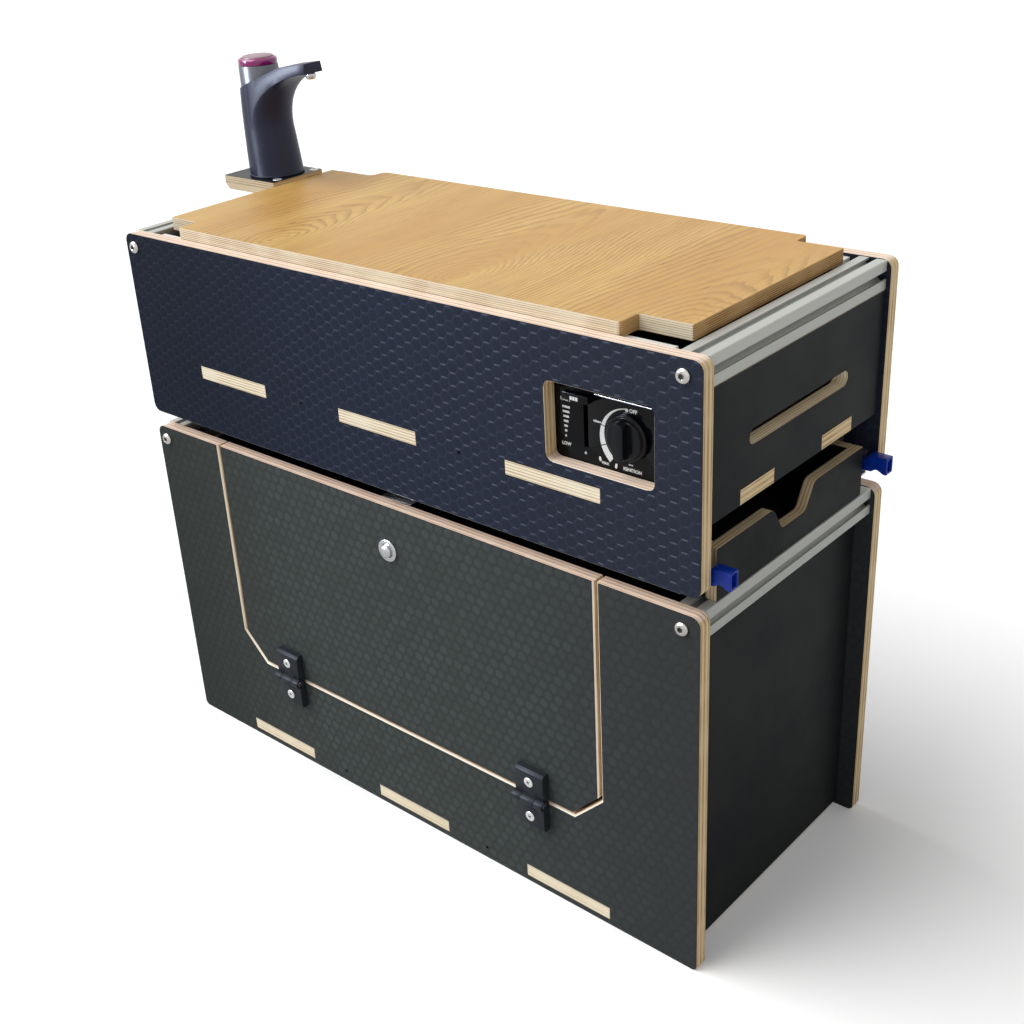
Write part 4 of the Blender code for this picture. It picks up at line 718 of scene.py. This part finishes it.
for side, axis in (("front", 1), ("back", 1), ("left", 0), ("right", 0)):
    makeBoard(f"tray_{side}_wall", axis, tray)
makeBoard("tray_floor", 2, tray)
makeBoard("worktop", 2, {"soft": boardSizes["topSoft"], "face": oakTop, "edges": (oakEndEdgeShaded, oakFrontEdge)})
makeBoard("tap_shelf_plate", 2, {"soft": boardSizes["plateSoft"], "face": shelfBlack,
                                 "edges": (plyEnd, shelfEdge)})
upToPlate = (lambda p: p.z > boardSizes["armTop"], (0, 0, boardSizes["armRise"]))
makeBoard("tap_shelf_arm", 1, {"soft": boardSizes["armSoft"], "face": birchFace,
                               "edges": (plyEnd, shelfEdge), "lengthen": upToPlate})
print("boards made")

# Bars, slides, ledges and the other pieces that keep their shape and only get softer edges
plainPieces = {
    "bars": (anodised, 0.00015, ("lower_left_bar", "lower_right_bar", "upper_left_bar", "upper_right_bar")),
    "slides": (zincPlate, 0.0002, ("front_slide_outer", "back_slide_outer", "front_slide_middle",
                                   "back_slide_middle", "front_slide_inner", "back_slide_inner")),
    "ledges": (whitePlastic, 0.0006, ("front_ledge", "back_ledge")),
    "latch": (stainless, 0.0003, ("latch_keeper", "latch_tongue")),
    "pins": (stainless, 0.0002, ("left_hinge_pin", "right_hinge_pin")),
    "leaves": (hingeBlack, 0.0006, ("left_hinge_body_leaf", "right_hinge_body_leaf", "left_hinge_door_leaf",
                                    "right_hinge_door_leaf")),
    "lock": (satinChrome, 0.0002, ("lock_housing",)),
    "ring": (magentaPlastic, 0.0005, ("tap_ring",)),
    "disc": (tapDisc, 0.0004, ("tap_button",)),
    "nozzle": (satinChrome, 0.0003, ("tap_nozzle",)),
    "case": (glossBlack, 0.0008, ("stove_case",)),
    "slider": (glossBlack, 0.0008, ("stove_slider",)),
    "cast": (castBlack, 0.0004, ("stove_burner", "stove_trivet")),
}
nozzleShift = (0.003, 0, 0)  # nearer the spout's tip
barAngle = flatAngle * 8  # the bars' flats stay crisp
lockSizes = {"sides": 72, "rim": 0.0134, "bore": 0.0083, "rise": 0.00275, "bevel": 0.0014, "round": 0.3,
             "foot": 0.0001, "soft": 0.0003, "button": 0.0080, "edge": 0.0004, "bodyFrom": 0.0079,
             "dome": ((0.0078, 0.0030), (0.0071, 0.0017), (0.0058, 0.0008), (0.0038, 0.0002), (0.0018, 0.0))}
for finish, soft, members in plainPieces.values():
    for node in members:
        piece = copyOf(node)
        if node == "tap_nozzle":
            place(piece, nozzleShift)
        soften(piece, soft)
        coat(piece, finish)
        if node == "lock_housing":  # its body behind the door is a plain casting
            coat(piece, finish, lockGrey)
            for face in piece.data.polygons:
                face.material_index = 1 if face.center.y > lockSizes["bodyFrom"] else 0
        smooth(piece, barAngle if finish is anodised else sharpAngle)
        standFor(piece, node)
print("plain pieces made")


# The lock's domed button and a turned rim over the housing's front
def makeLock():
    sizes = lockSizes
    low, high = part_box("lock_button")
    x, z = (low.x + high.x) / 2, (low.z + high.z) / 2
    deep, radius, edge = high.y - low.y, sizes["button"], sizes["edge"]
    profile = [(radius - edge, 0.0), (radius, edge), *[(r, deep - down) for r, down in sizes["dome"]]]
    button = turnPiece("lockButton", profile, sizes["sides"])
    place(button, (x, high.y, z), (90, 0, 0))
    coat(button, satinChrome)
    smooth(button)
    standFor(button, "lock_button")
    rim, rise, bevel, part = sizes["rim"], sizes["rise"], sizes["bevel"], sizes["round"]
    profile = ((rim, sizes["foot"]), (rim, rise - bevel), (rim - part * bevel, rise - part * bevel),
               (rim - bevel, rise))
    ring = turnPiece("lockRim", profile, sizes["sides"])
    bpy.ops.mesh.primitive_cylinder_add(vertices=sizes["sides"], radius=sizes["bore"], depth=0.02)
    cut(ring, bpy.context.active_object)
    place(ring, (x, frontFace, z), (90, 0, 0))
    soften(ring, sizes["soft"])
    coat(ring, satinChrome)
    smooth(ring)
    addTo(ring, "lock_housing")


makeLock()

# Blue release levers: a level top, an arched underside and a recess in the hooked end
leverSizes = {"shank": 0.0085, "shankTop": 0.4537, "shankBottom": 0.4427, "bottom": 0.4452, "waist": 0.390,
              "neck": 0.398, "wall": 0.0023, "recess": 0.0070, "soft": 0.0013,
              "arch": ((0.4010, 0.0), (0.4040, 0.0025), (0.4070, 0.0035), (0.4100, 0.0022), (0.4130, 0.0004),
                       (0.4160, -0.0004))}


def makeLever(node, way):
    low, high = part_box(node)
    sizes = leverSizes
    lever = block(pieceName(node), (low.x, low.y, sizes["bottom"]), (high.x, high.y, high.z))
    for x in (sizes["waist"], sizes["neck"], *[spot[0] for spot in sizes["arch"]]):
        splitAt(lever, (x, 0, 0), (1, 0, 0))
    pickFaces(lever, lambda face: face.normal.x > 0.9)
    bpy.ops.mesh.inset(thickness=sizes["wall"], depth=0)
    bpy.ops.mesh.extrude_region_move(TRANSFORM_OT_translate={"value": (-sizes["recess"], 0, 0)})
    bpy.ops.object.mode_set(mode="OBJECT")
    waist, bottom, top = sizes["waist"] + nearGap, sizes["bottom"] + nearGap, high.z - nearGap
    for x, rise in sizes["arch"]:
        nudge(lever, lambda p: abs(p.x - x) < nearGap and p.z < bottom, (0, 0, rise))
    nudge(lever, lambda p: p.x < waist and p.z > top, (0, 0, sizes["shankTop"] - high.z))
    nudge(lever, lambda p: p.x < waist and p.z < bottom, (0, 0, sizes["shankBottom"] - sizes["bottom"]))
    free = high.y if way < 0 else low.y
    thinner = (high.y - low.y - sizes["shank"]) * way
    nudge(lever, lambda p: p.x < waist and abs(p.y - free) < nearGap, (0, thinner, 0))
    soften(lever, sizes["soft"], 3)
    coat(lever, bluePlastic)
    smooth(lever)
    standFor(lever, node)


makeLever("front_release_lever", -1)
makeLever("back_release_lever", 1)

# Water tap: a leaning body whose sides run on into the spout, with a crease over the hollow below it
tapSizes = {"spot": (-0.4045, 0.2365, 0.6814), "tilt": 5.03, "lean": 0.088, "sides": 64, "start": 0.058,
            "crown": 0.150, "root": 0.0315, "reach": 0.1010, "mouth": 0.1209, "rootWidth": 0.028,
            "tipWidth": 0.0132, "steps": 14, "frontHalf": 86, "sweep": 1.35, "underSweep": 1.3,
            "flatten": 0.96, "soft": 0.0007, "softAngle": 40, "smoothAngle": 38,
            "shoulders": (((0, 0, 0.1137), (-0.286, 0, 1)), ((0.102, 0, 0.133), (-0.05, 0, 1))),
            "body": ((0.0350, -0.006), (0.0343, 0.0), (0.0335, 0.020), (0.0325, 0.040), (0.0315, 0.058),
                     (0.0303, 0.078), (0.0285, 0.100), (0.0264, 0.120), (0.0256, 0.150)),
            "neck": ((0.0262, 0.095), (0.0256, 0.110), (0.0246, 0.1330), (0.0238, 0.1345)),
            "foot": ((0.0345, 0.0), (0.0350, 0.0008), (0.0350, 0.0020), (0.0344, 0.0028))}


def makeTapBody():
    sizes = tapSizes
    body = turnPiece("tapBody", sizes["body"], sizes["sides"])
    front = math.cos(math.radians(sizes["frontHalf"]))
    pickFaces(body, lambda face: face.normal.x > front and face.center.z > sizes["start"])
    top, rim, width, below, hollow = sizes["crown"], sizes["root"], sizes["rootWidth"], sizes["start"], 1.0
    for step in range(1, sizes["steps"] + 1):
        angle = math.radians(90 * step / sizes["steps"])
        share = (1 - math.cos(angle)) ** sizes["sweep"]
        under = math.sin(angle) ** sizes["underSweep"]
        nextRim = sizes["root"] + (sizes["reach"] - sizes["root"]) * share
        nextWidth = sizes["rootWidth"] + (sizes["tipWidth"] - sizes["rootWidth"]) * share
        nextBelow = sizes["start"] + (sizes["mouth"] - sizes["start"]) * under
        nextHollow = (1 - sizes["flatten"] * share) ** 2
        bpy.ops.mesh.extrude_region_move(TRANSFORM_OT_translate={"value": (nextRim - rim, 0, 0)})
        shares = (nextHollow / hollow, nextWidth / width, (top - nextBelow) / (top - below))
        bpy.ops.transform.resize(value=shares, center_override=(nextRim, 0, top))
        rim, width, below, hollow = nextRim, nextWidth, nextBelow, nextHollow
    bpy.ops.object.mode_set(mode="OBJECT")
    for spot, normal in sizes["shoulders"]:
        splitAt(body, spot, normal, "inner")
    place(body, sizes["spot"], (0, -sizes["tilt"], 0))
    splitAt(body, sizes["spot"], (0, 0, 1), "outer")
    soften(body, sizes["soft"], 2, math.radians(sizes["softAngle"]))
    coat(body, tapNavy)
    smooth(body, math.radians(sizes["smoothAngle"]))
    standFor(body, "tap_body")


def makeTapNeck():
    sizes = tapSizes
    x, y, z = sizes["spot"]
    leaning = (x - sizes["lean"] * sizes["neck"][0][1], y, z)
    for name, spot, lean, finish in (("neck", leaning, sizes["lean"], tapNeck),
                                     ("foot", sizes["spot"], 0.0, tapNavy)):
        piece = turnPiece("tap" + name.capitalize(), sizes[name], sizes["sides"], lean)
        place(piece, spot)
        coat(piece, finish)
        smooth(piece)
        addTo(piece, "tap_body")


makeTapBody()
makeTapNeck()
print("levers and tap made")

# Domed bolts with a hexagon socket, two on each bar's end
boltSizes = {"head": 0.0074, "height": 0.0044, "shank": 0.0040, "socket": 0.0031, "socketDepth": 0.0026,
             "sides": 40, "rim": 0.25, "flat": 0.42, "dome": 0.83, "domeSteps": 7, "domeTurn": 9,
             "tool": 0.01, "socketLevel": 0.0004, "soft": 0.00012}


def makeBolt():
    sizes = boltSizes
    head, height, shank, flat = sizes["head"], sizes["height"], sizes["shank"], sizes["flat"]
    low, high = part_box("lower_front_left_bolt")
    profile = [(shank, height - (high.y - low.y)), (shank, 0.0), (head, 0.0), (head, sizes["rim"] * height)]
    for step in range(1, sizes["domeSteps"] + 1):
        angle = math.radians(step * sizes["domeTurn"])
        profile.append((head * (flat + (1 - flat) * math.cos(angle)),
                        height * (sizes["rim"] + sizes["dome"] * math.sin(angle))))
    bolt = turnPiece("bolt", profile, sizes["sides"])
    deselectAll()
    middle = height - sizes["socketDepth"] + sizes["tool"] / 2
    bpy.ops.mesh.primitive_cylinder_add(vertices=6, radius=sizes["socket"], depth=sizes["tool"],
                                        location=(0, 0, middle))
    cut(bolt, bpy.context.active_object)
    coat(bolt, stainless, paintedSocketShade)
    level = max(vertex.co.z for vertex in bolt.data.vertices) - sizes["socketLevel"]
    # painted shade on the socket's walls and floor
    for face in bolt.data.polygons:  # the faces inside the socket are darker
        spot = face.center
        inside = math.hypot(spot.x, spot.y) < sizes["socket"] and spot.z < level
        face.material_index = 1 if inside and (spot.z > 0 or abs(face.normal.z) < 0.5) else 0
    return bolt


def throwAway(piece):
    work(piece)
    bpy.ops.object.delete()


boltShape = makeBolt()
boltTop = max(vertex.co.z for vertex in boltShape.data.vertices)
for unit in ("lower", "upper"):
    for face, way in (("front", -1), ("back", 1)):
        for side in ("left", "right"):
            node = f"{unit}_{face}_{side}_bolt"
            low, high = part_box(node)
            bolt = copyPiece(boltShape, pieceName(node))
            outer = low.y if way < 0 else high.y
            spot = ((low.x + high.x) / 2, outer - way * boltTop, (low.z + high.z) / 2)
            place(bolt, spot, (-90 * way, 0, 0))
            soften(bolt, boltSizes["soft"])
            smooth(bolt)
            standFor(bolt, node)
throwAway(boltShape)
print("bolts made")

# Cross-head screws on the hinges and the tap's shelf
screwSizes = {"radius": 0.0059, "cross": 0.0048, "slot": 0.0011, "deep": 0.0011, "above": 0.002, "sides": 32,
              "floor": 0.0009, "soft": 0.00008, "hingeSeat": -0.0187, "hingeTurns": (18, -31),
              "profile": ((0.9, -0.0015), (1.0, -0.0002), (1.0, 0.0), (0.93, 0.0003), (0.7, 0.0005),
                          (0.35, 0.0006)),
              "hinges": {"left_hinge_door_leaf": (-0.194, 0.1495), "left_hinge_body_leaf": (-0.194, 0.1045),
                         "right_hinge_door_leaf": (0.194, 0.1495), "right_hinge_body_leaf": (0.194, 0.1045)},
              "shelf": ((-0.3748, 0.2105, 25), (-0.3726, 0.2709, 65))}


def makeScrew():
    sizes = screwSizes
    screw = turnPiece("screw", [(sizes["radius"] * r, z) for r, z in sizes["profile"]], sizes["sides"])
    long, thin = sizes["cross"] / 2, sizes["slot"] / 2
    for x, y in ((long, thin), (thin, long)):
        cut(screw, block("cross", (-x, -y, -sizes["deep"]), (x, y, sizes["above"])))
    coat(screw, screwZinc, paintedSocketShade)
    # painted shade on the cross's walls and floor
    for face in screw.data.polygons:  # the cross's walls and floor are darker
        spot = face.center
        deep = abs(face.normal.z) < 0.2 or abs(spot.z) > sizes["floor"]
        face.material_index = 1 if math.hypot(spot.x, spot.y) < long and deep else 0
    return screw


def setScrew(name, spot, turn, node):
    screw = copyPiece(screwShape, name)
    place(screw, spot, turn)
    soften(screw, screwSizes["soft"])
    smooth(screw)
    addTo(screw, node)


screwShape = makeScrew()
for node, (x, z) in screwSizes["hinges"].items():
    turn = screwSizes["hingeTurns"][0 if x < 0 else 1]
    setScrew(pieceName(node) + "Screw", (x, screwSizes["hingeSeat"], z), (90, turn, 0), node)
for index, (x, y, turn) in enumerate(screwSizes["shelf"]):
    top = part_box("tap_shelf_plate")[1].z
    setScrew(f"shelfScrew{index + 1}", (x, y, top), (0, 0, turn), "tap_shelf_plate")
throwAway(screwShape)

# Plugs in the front boards' pilot holes
plugSizes = {"radius": 0.0021, "lip": 0.0002, "foot": 0.003, "hollow": 0.0012, "mouth": 0.7, "floor": 0.5,
             "sides": 24, "across": 0.1168,
             "heights": {"upper_front_panel": 0.512, "lower_front_panel": 0.0148}}


def makePlug(name, x, z, node):
    sizes = plugSizes
    radius, lip = sizes["radius"], sizes["lip"]
    profile = ((radius, -sizes["foot"]), (radius, lip), (radius * sizes["mouth"], lip),
               (radius * sizes["floor"], -sizes["hollow"]))
    filler = turnPiece(name, profile, sizes["sides"])
    place(filler, (x, frontFace, z), (90, 0, 0))
    coat(filler, knobBlack)
    smooth(filler)
    addTo(filler, node)


count = 0
for node, z in plugSizes["heights"].items():
    for side in (-1, 1):
        count += 1
        makePlug(f"pilotPlug{count}", side * plugSizes["across"], z, node)
print("screws made")

# Stove knob: a flat skirt, a low dome and a bar to grip
knobSizes = {"sides": 72, "bar": (0.0064, 0.0190), "front": 0.0160, "foot": 0.0060, "taper": (0.86, 1, 0.94),
             "barRound": 0.0045, "barSteps": 5, "soft": 0.0005,
             "profile": ((0.0221, 0.0), (0.0225, 0.0006), (0.0225, 0.0032), (0.0219, 0.0040),
                         (0.0200, 0.0041), (0.0196, 0.0046), (0.0188, 0.0072), (0.0180, 0.0079),
                         (0.0120, 0.0081))}


def makeKnob():
    sizes = knobSizes
    low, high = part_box("stove_knob")
    x, z = (low.x + high.x) / 2, (low.z + high.z) / 2
    seat = low.y + sizes["front"]
    knob = turnPiece("stoveKnob", sizes["profile"], sizes["sides"])
    place(knob, (x, seat, z), (90, 0, 0))
    half, reach = sizes["bar"]
    grip = block("grip", (x - half, low.y, z - reach), (x + half, seat - sizes["foot"], z + reach))
    pickFaces(grip, lambda face: face.normal.y < -0.9)
    bpy.ops.transform.resize(value=sizes["taper"], center_override=(x, low.y, z))
    bpy.ops.object.mode_set(mode="OBJECT")
    bevelEdges(grip, lambda a, b: abs(a.y - b.y) > 0.001, sizes["barRound"], sizes["barSteps"])
    cut(knob, grip, "UNION")
    soften(knob, sizes["soft"], 3)
    coat(knob, knobBlack)
    smooth(knob)
    standFor(knob, "stove_knob")


makeKnob()

# Printed marks on the stove's panel, all as thin raised ink
printSizes = {"face": 0.0086, "ink": 0.00006, "soft": 0.00003, "merge": 0.000005, "capShare": 0.70,
              "boldShare": 0.045, "curve": 4, "discSides": 32, "discTop": 0.9,
              "words": (("OFF", 0.3168, 0.5957, 0.0034), ("IGNITION", 0.3155, 0.5378, 0.0032),
                        ("MAX", 0.2852, 0.5376, 0.0026), ("LOW", 0.2405, 0.5464, 0.0032),
                        ("HIGH", 0.2405, 0.5910, 0.0032), ("MIN", 0.2752, 0.5771, 0.0020)),
              "bars": ((0.2368, 0.2456, 0.5835), (0.2372, 0.2449, 0.5787), (0.2378, 0.2443, 0.5739),
                       (0.2380, 0.2435, 0.5692), (0.2385, 0.2425, 0.5643), (0.2390, 0.2418, 0.5596),
                       (0.2393, 0.2411, 0.5545)),
              "barHeight": 0.0022,
              "dashes": ((0.3112, 0.3160, 0.5431, 0.0012), (0.2776, 0.2812, 0.5771, 0.0012)),
              "dot": (0.3097, 0.5956, 0.0017), "foot": (0.2628, 0.5422, 0.0014),
              "topHighlight": ((0.2743, 0.0078, 0.6026), (0.3372, 0.0090, 0.6038)), "topHighlightSoft": 0.0003}
arcSizes = {"centre": (0.3130, 0.5679), "inner": 0.0285, "outer": 0.03235, "shift": (-0.0012, -0.0033),
            "range": (98, 231), "gaps": (166.8, 202.3), "gap": 0.0009, "gapReach": (0.026, 0.040),
            "thick": 0.0002, "tool": 0.002, "sides": 160}
flashSizes = {"half": 0.3, "ends": 0.4, "slant": 0.2,
              "marks": (("sparkMark", 0.2973, 0.5380, 0.0048, ((1, 0.18), (-1, -0.18))),
                        ("flameMark", 0.2793, 0.5406, 0.0046, ((1, 0.06), (-1, 0.0))))}
sliderMarks = {"count": 3, "start": 0.2532, "step": 0.0032, "wide": 0.0027, "deep": (-0.00096, -0.0008),
               "tall": (0.5965, 0.6001)}


def ink(piece, node="stove_case", finish=printWhite):
    coat(piece, finish)
    addTo(piece, node)


def makeWord(word, x, z, height):
    deselectAll()
    bpy.ops.object.text_add(location=(x, printSizes["face"], z), rotation=(math.radians(90), 0, 0))
    piece = bpy.context.active_object
    piece.data.body = word
    piece.data.size = height / printSizes["capShare"]
    piece.data.align_x = "CENTER"
    piece.data.align_y = "CENTER"
    piece.data.extrude = printSizes["ink"]
    piece.data.offset = printSizes["boldShare"] * piece.data.size
    piece.data.resolution_u = printSizes["curve"]
    bpy.ops.object.convert(target="MESH")
    piece = bpy.context.active_object
    piece.name = "word" + word.capitalize()
    fixPlace(piece)
    bpy.ops.object.mode_set(mode="EDIT")
    bpy.ops.mesh.select_all(action="SELECT")
    bpy.ops.mesh.remove_doubles(threshold=printSizes["merge"])
    bpy.ops.mesh.normals_make_consistent(inside=False)
    bpy.ops.object.mode_set(mode="OBJECT")
    ink(piece)


def makeBar(name, start, stop, z, tall):
    face, thin = printSizes["face"], printSizes["ink"]
    bar = block(name, (start, face - thin, z - tall / 2), (stop, face + thin, z + tall / 2))
    soften(bar, printSizes["soft"])
    ink(bar)


def makeDisc(name, x, z, radius, finish=printWhite):
    thin, top = printSizes["ink"], radius * printSizes["discTop"]
    disc = turnPiece(name, ((radius, -thin), (radius, 0.0), (top, thin)), printSizes["discSides"])
    place(disc, (x, printSizes["face"], z), (90, 0, 0))
    ink(disc, finish=finish)


def makeArc():
    # a band between two circles off one centre, ended by planes and parted by two gaps
    sizes, face = arcSizes, printSizes["face"]
    x, z = sizes["centre"]
    upright = (math.radians(90), 0, 0)
    discs = []
    for radius, deep, (dx, dz) in ((sizes["outer"], sizes["thick"], sizes["shift"]),
                                   (sizes["inner"], sizes["tool"], (0, 0))):
        deselectAll()
        bpy.ops.mesh.primitive_cylinder_add(vertices=sizes["sides"], radius=radius, depth=deep,
                                            location=(x + dx, face, z + dz), rotation=upright)
        discs.append(bpy.context.active_object)
        fixPlace(discs[-1])
    arc, tool = discs
    arc.name = "flameArc"
    cut(arc, tool)
    for angle, side in zip(sizes["range"], ("outer", "inner")):
        turn = math.radians(angle)
        splitAt(arc, (x, face, z), (-math.sin(turn), 0, math.cos(turn)), side)
    half, (near, far) = sizes["gap"] / 2, sizes["gapReach"]
    for angle in sizes["gaps"]:
        tool = block("gap", (near, -sizes["tool"] / 2, -half), (far, sizes["tool"] / 2, half))
        place(tool, (x, face, z), (0, -angle, 0))
        cut(arc, tool)
    ink(arc)


def makeFlash(name, x, z, height, shape):
    # a small block with its top and foot moved sideways and slanted
    face, thin, half = printSizes["face"], printSizes["ink"], height / 2
    side, ends, slant = [flashSizes[part] * height for part in ("half", "ends", "slant")]
    mark = block(name, (x - side, face - thin, z - half), (x + side, face + thin, z + half))
    splitAt(mark, (x, 0, z), (0, 0, 1))
    for part, move in shape:
        nudge(mark, lambda p: abs(p.z - (z + part * half)) < nearGap, (move * height, 0, 0))
    nudge(mark, lambda p: p.z > z + ends and p.x > x, (-slant, 0, 0))
    nudge(mark, lambda p: p.z < z - ends and p.x < x, (slant, 0, 0))
    ink(mark)


for words in printSizes["words"]:
    makeWord(*words)
for index, bar in enumerate(printSizes["bars"]):
    makeBar(f"heatBar{index + 1}", *bar, printSizes["barHeight"])
for index, dash in enumerate(printSizes["dashes"]):
    makeBar(f"dash{index + 1}", *dash)
makeDisc("offDot", *printSizes["dot"])
makeDisc("slotFoot", *printSizes["foot"], zincPlate)
makeArc()
for mark in flashSizes["marks"]:
    makeFlash(*mark)
# a satin-metal strip along the case's top edge, standing in for the highlight on that rounded edge: a
# painted highlight
edge = block("panelTopEdge", *printSizes["topHighlight"])
soften(edge, printSizes["topHighlightSoft"])
ink(edge, finish=satinChrome)
for index in range(sliderMarks["count"]):
    start = sliderMarks["start"] + sliderMarks["step"] * index
    (front, back), (foot, top) = sliderMarks["deep"], sliderMarks["tall"]
    mark = block(f"sliderMark{index + 1}", (start, front, foot), (start + sliderMarks["wide"], back, top))
    soften(mark, printSizes["soft"])
    ink(mark, "stove_slider")
print("prints made")

# Floor, light and camera
stageSizes = {"floor": 60.0, "bounce": 0.7, "lift": 0.10, "fill": 0.36, "softness": 54, "key": 2.8,
              "keyPlace": (-2.0, -1.5, 3.0), "keyAim": (1.0, 0.78, -1.7),
              "strip": (0.5, 1.4), "stripPlace": (-1.99, -2.30, 1.40), "stripAim": (-0.40, 0.24, 0.75),
              "stripPower": 190, "stripTint": (0.72, 0.80, 1.0),
              "cameraPlace": (0.992307, -0.918680, 1.079438), "cameraTurn": (63.7527, 3.9188, 42.5064),
              "lens": 49.16645, "shift": (0.0604857, -0.0099014)}


def makeFloor():
    deselectAll()
    bpy.ops.mesh.primitive_plane_add(size=stageSizes["floor"], location=(0, 0, 0))
    floor = bpy.context.active_object
    floor.name = "floor"
    material = bpy.data.materials.new("paleFloor")
    material.use_nodes = True
    tree = material.node_tree
    tree.nodes.remove(tree.nodes["Principled BSDF"])
    seen = put(tree, "LightPath").outputs["Is Camera Ray"]
    colour = mix(tree, seen, (*[stageSizes["bounce"]] * 3, 1.0), (1.0, 1.0, 1.0, 1.0))
    matt = put(tree, "BsdfDiffuse", {"Color": colour}).outputs[0]
    strength = maths(tree, "MULTIPLY", seen, stageSizes["lift"])
    lift = put(tree, "Emission", {"Color": (1, 1, 1, 1), "Strength": strength}).outputs[0]
    both = put(tree, "AddShader", {0: matt, 1: lift}).outputs[0]
    tree.links.new(both, tree.nodes["Material Output"].inputs["Surface"])
    coat(floor, material)


def makeLight():
    world = bpy.data.worlds.new("studio")
    bpy.context.scene.world = world
    world.use_nodes = True
    tree = world.node_tree
    path = put(tree, "LightPath").outputs
    shown = maths(tree, "MAXIMUM", path["Is Glossy Ray"], path["Is Transmission Ray"])
    shown = maths(tree, "MAXIMUM", path["Is Camera Ray"], shown)
    background = tree.nodes["Background"].inputs
    plug(tree, background["Color"], (1, 1, 1, 1))
    plug(tree, background["Strength"], ease(tree, shown, 0.0, 1.0, stageSizes["fill"], 1.0))
    deselectAll()
    bpy.ops.object.light_add(type="SUN", location=stageSizes["keyPlace"])
    key = bpy.context.active_object
    key.data.angle = math.radians(stageSizes["softness"])
    key.data.energy = stageSizes["key"]
    key.rotation_euler = Vector(stageSizes["keyAim"]).to_track_quat("-Z", "Y").to_euler()
    deselectAll()
    bpy.ops.object.light_add(type="AREA", location=stageSizes["stripPlace"])
    strip = bpy.context.active_object  # a tall soft box that only shows in shiny pieces
    strip.data.shape = "RECTANGLE"
    strip.data.size, strip.data.size_y = stageSizes["strip"]
    strip.data.energy = stageSizes["stripPower"]
    strip.data.color = stageSizes["stripTint"]
    strip.visible_diffuse = False
    aim = Vector(stageSizes["stripAim"]) - Vector(stageSizes["stripPlace"])
    strip.rotation_euler = aim.to_track_quat("-Z", "Y").to_euler()


def makeCamera():
    deselectAll()
    turn = [math.radians(a) for a in stageSizes["cameraTurn"]]
    bpy.ops.object.camera_add(location=stageSizes["cameraPlace"], rotation=turn)
    camera = bpy.context.active_object
    camera.data.lens = stageSizes["lens"]
    camera.data.shift_x, camera.data.shift_y = stageSizes["shift"]
    bpy.context.scene.camera = camera


makeFloor()
makeLight()
makeCamera()
bpy.context.scene.view_settings.view_transform = "Standard"
print("stage made")
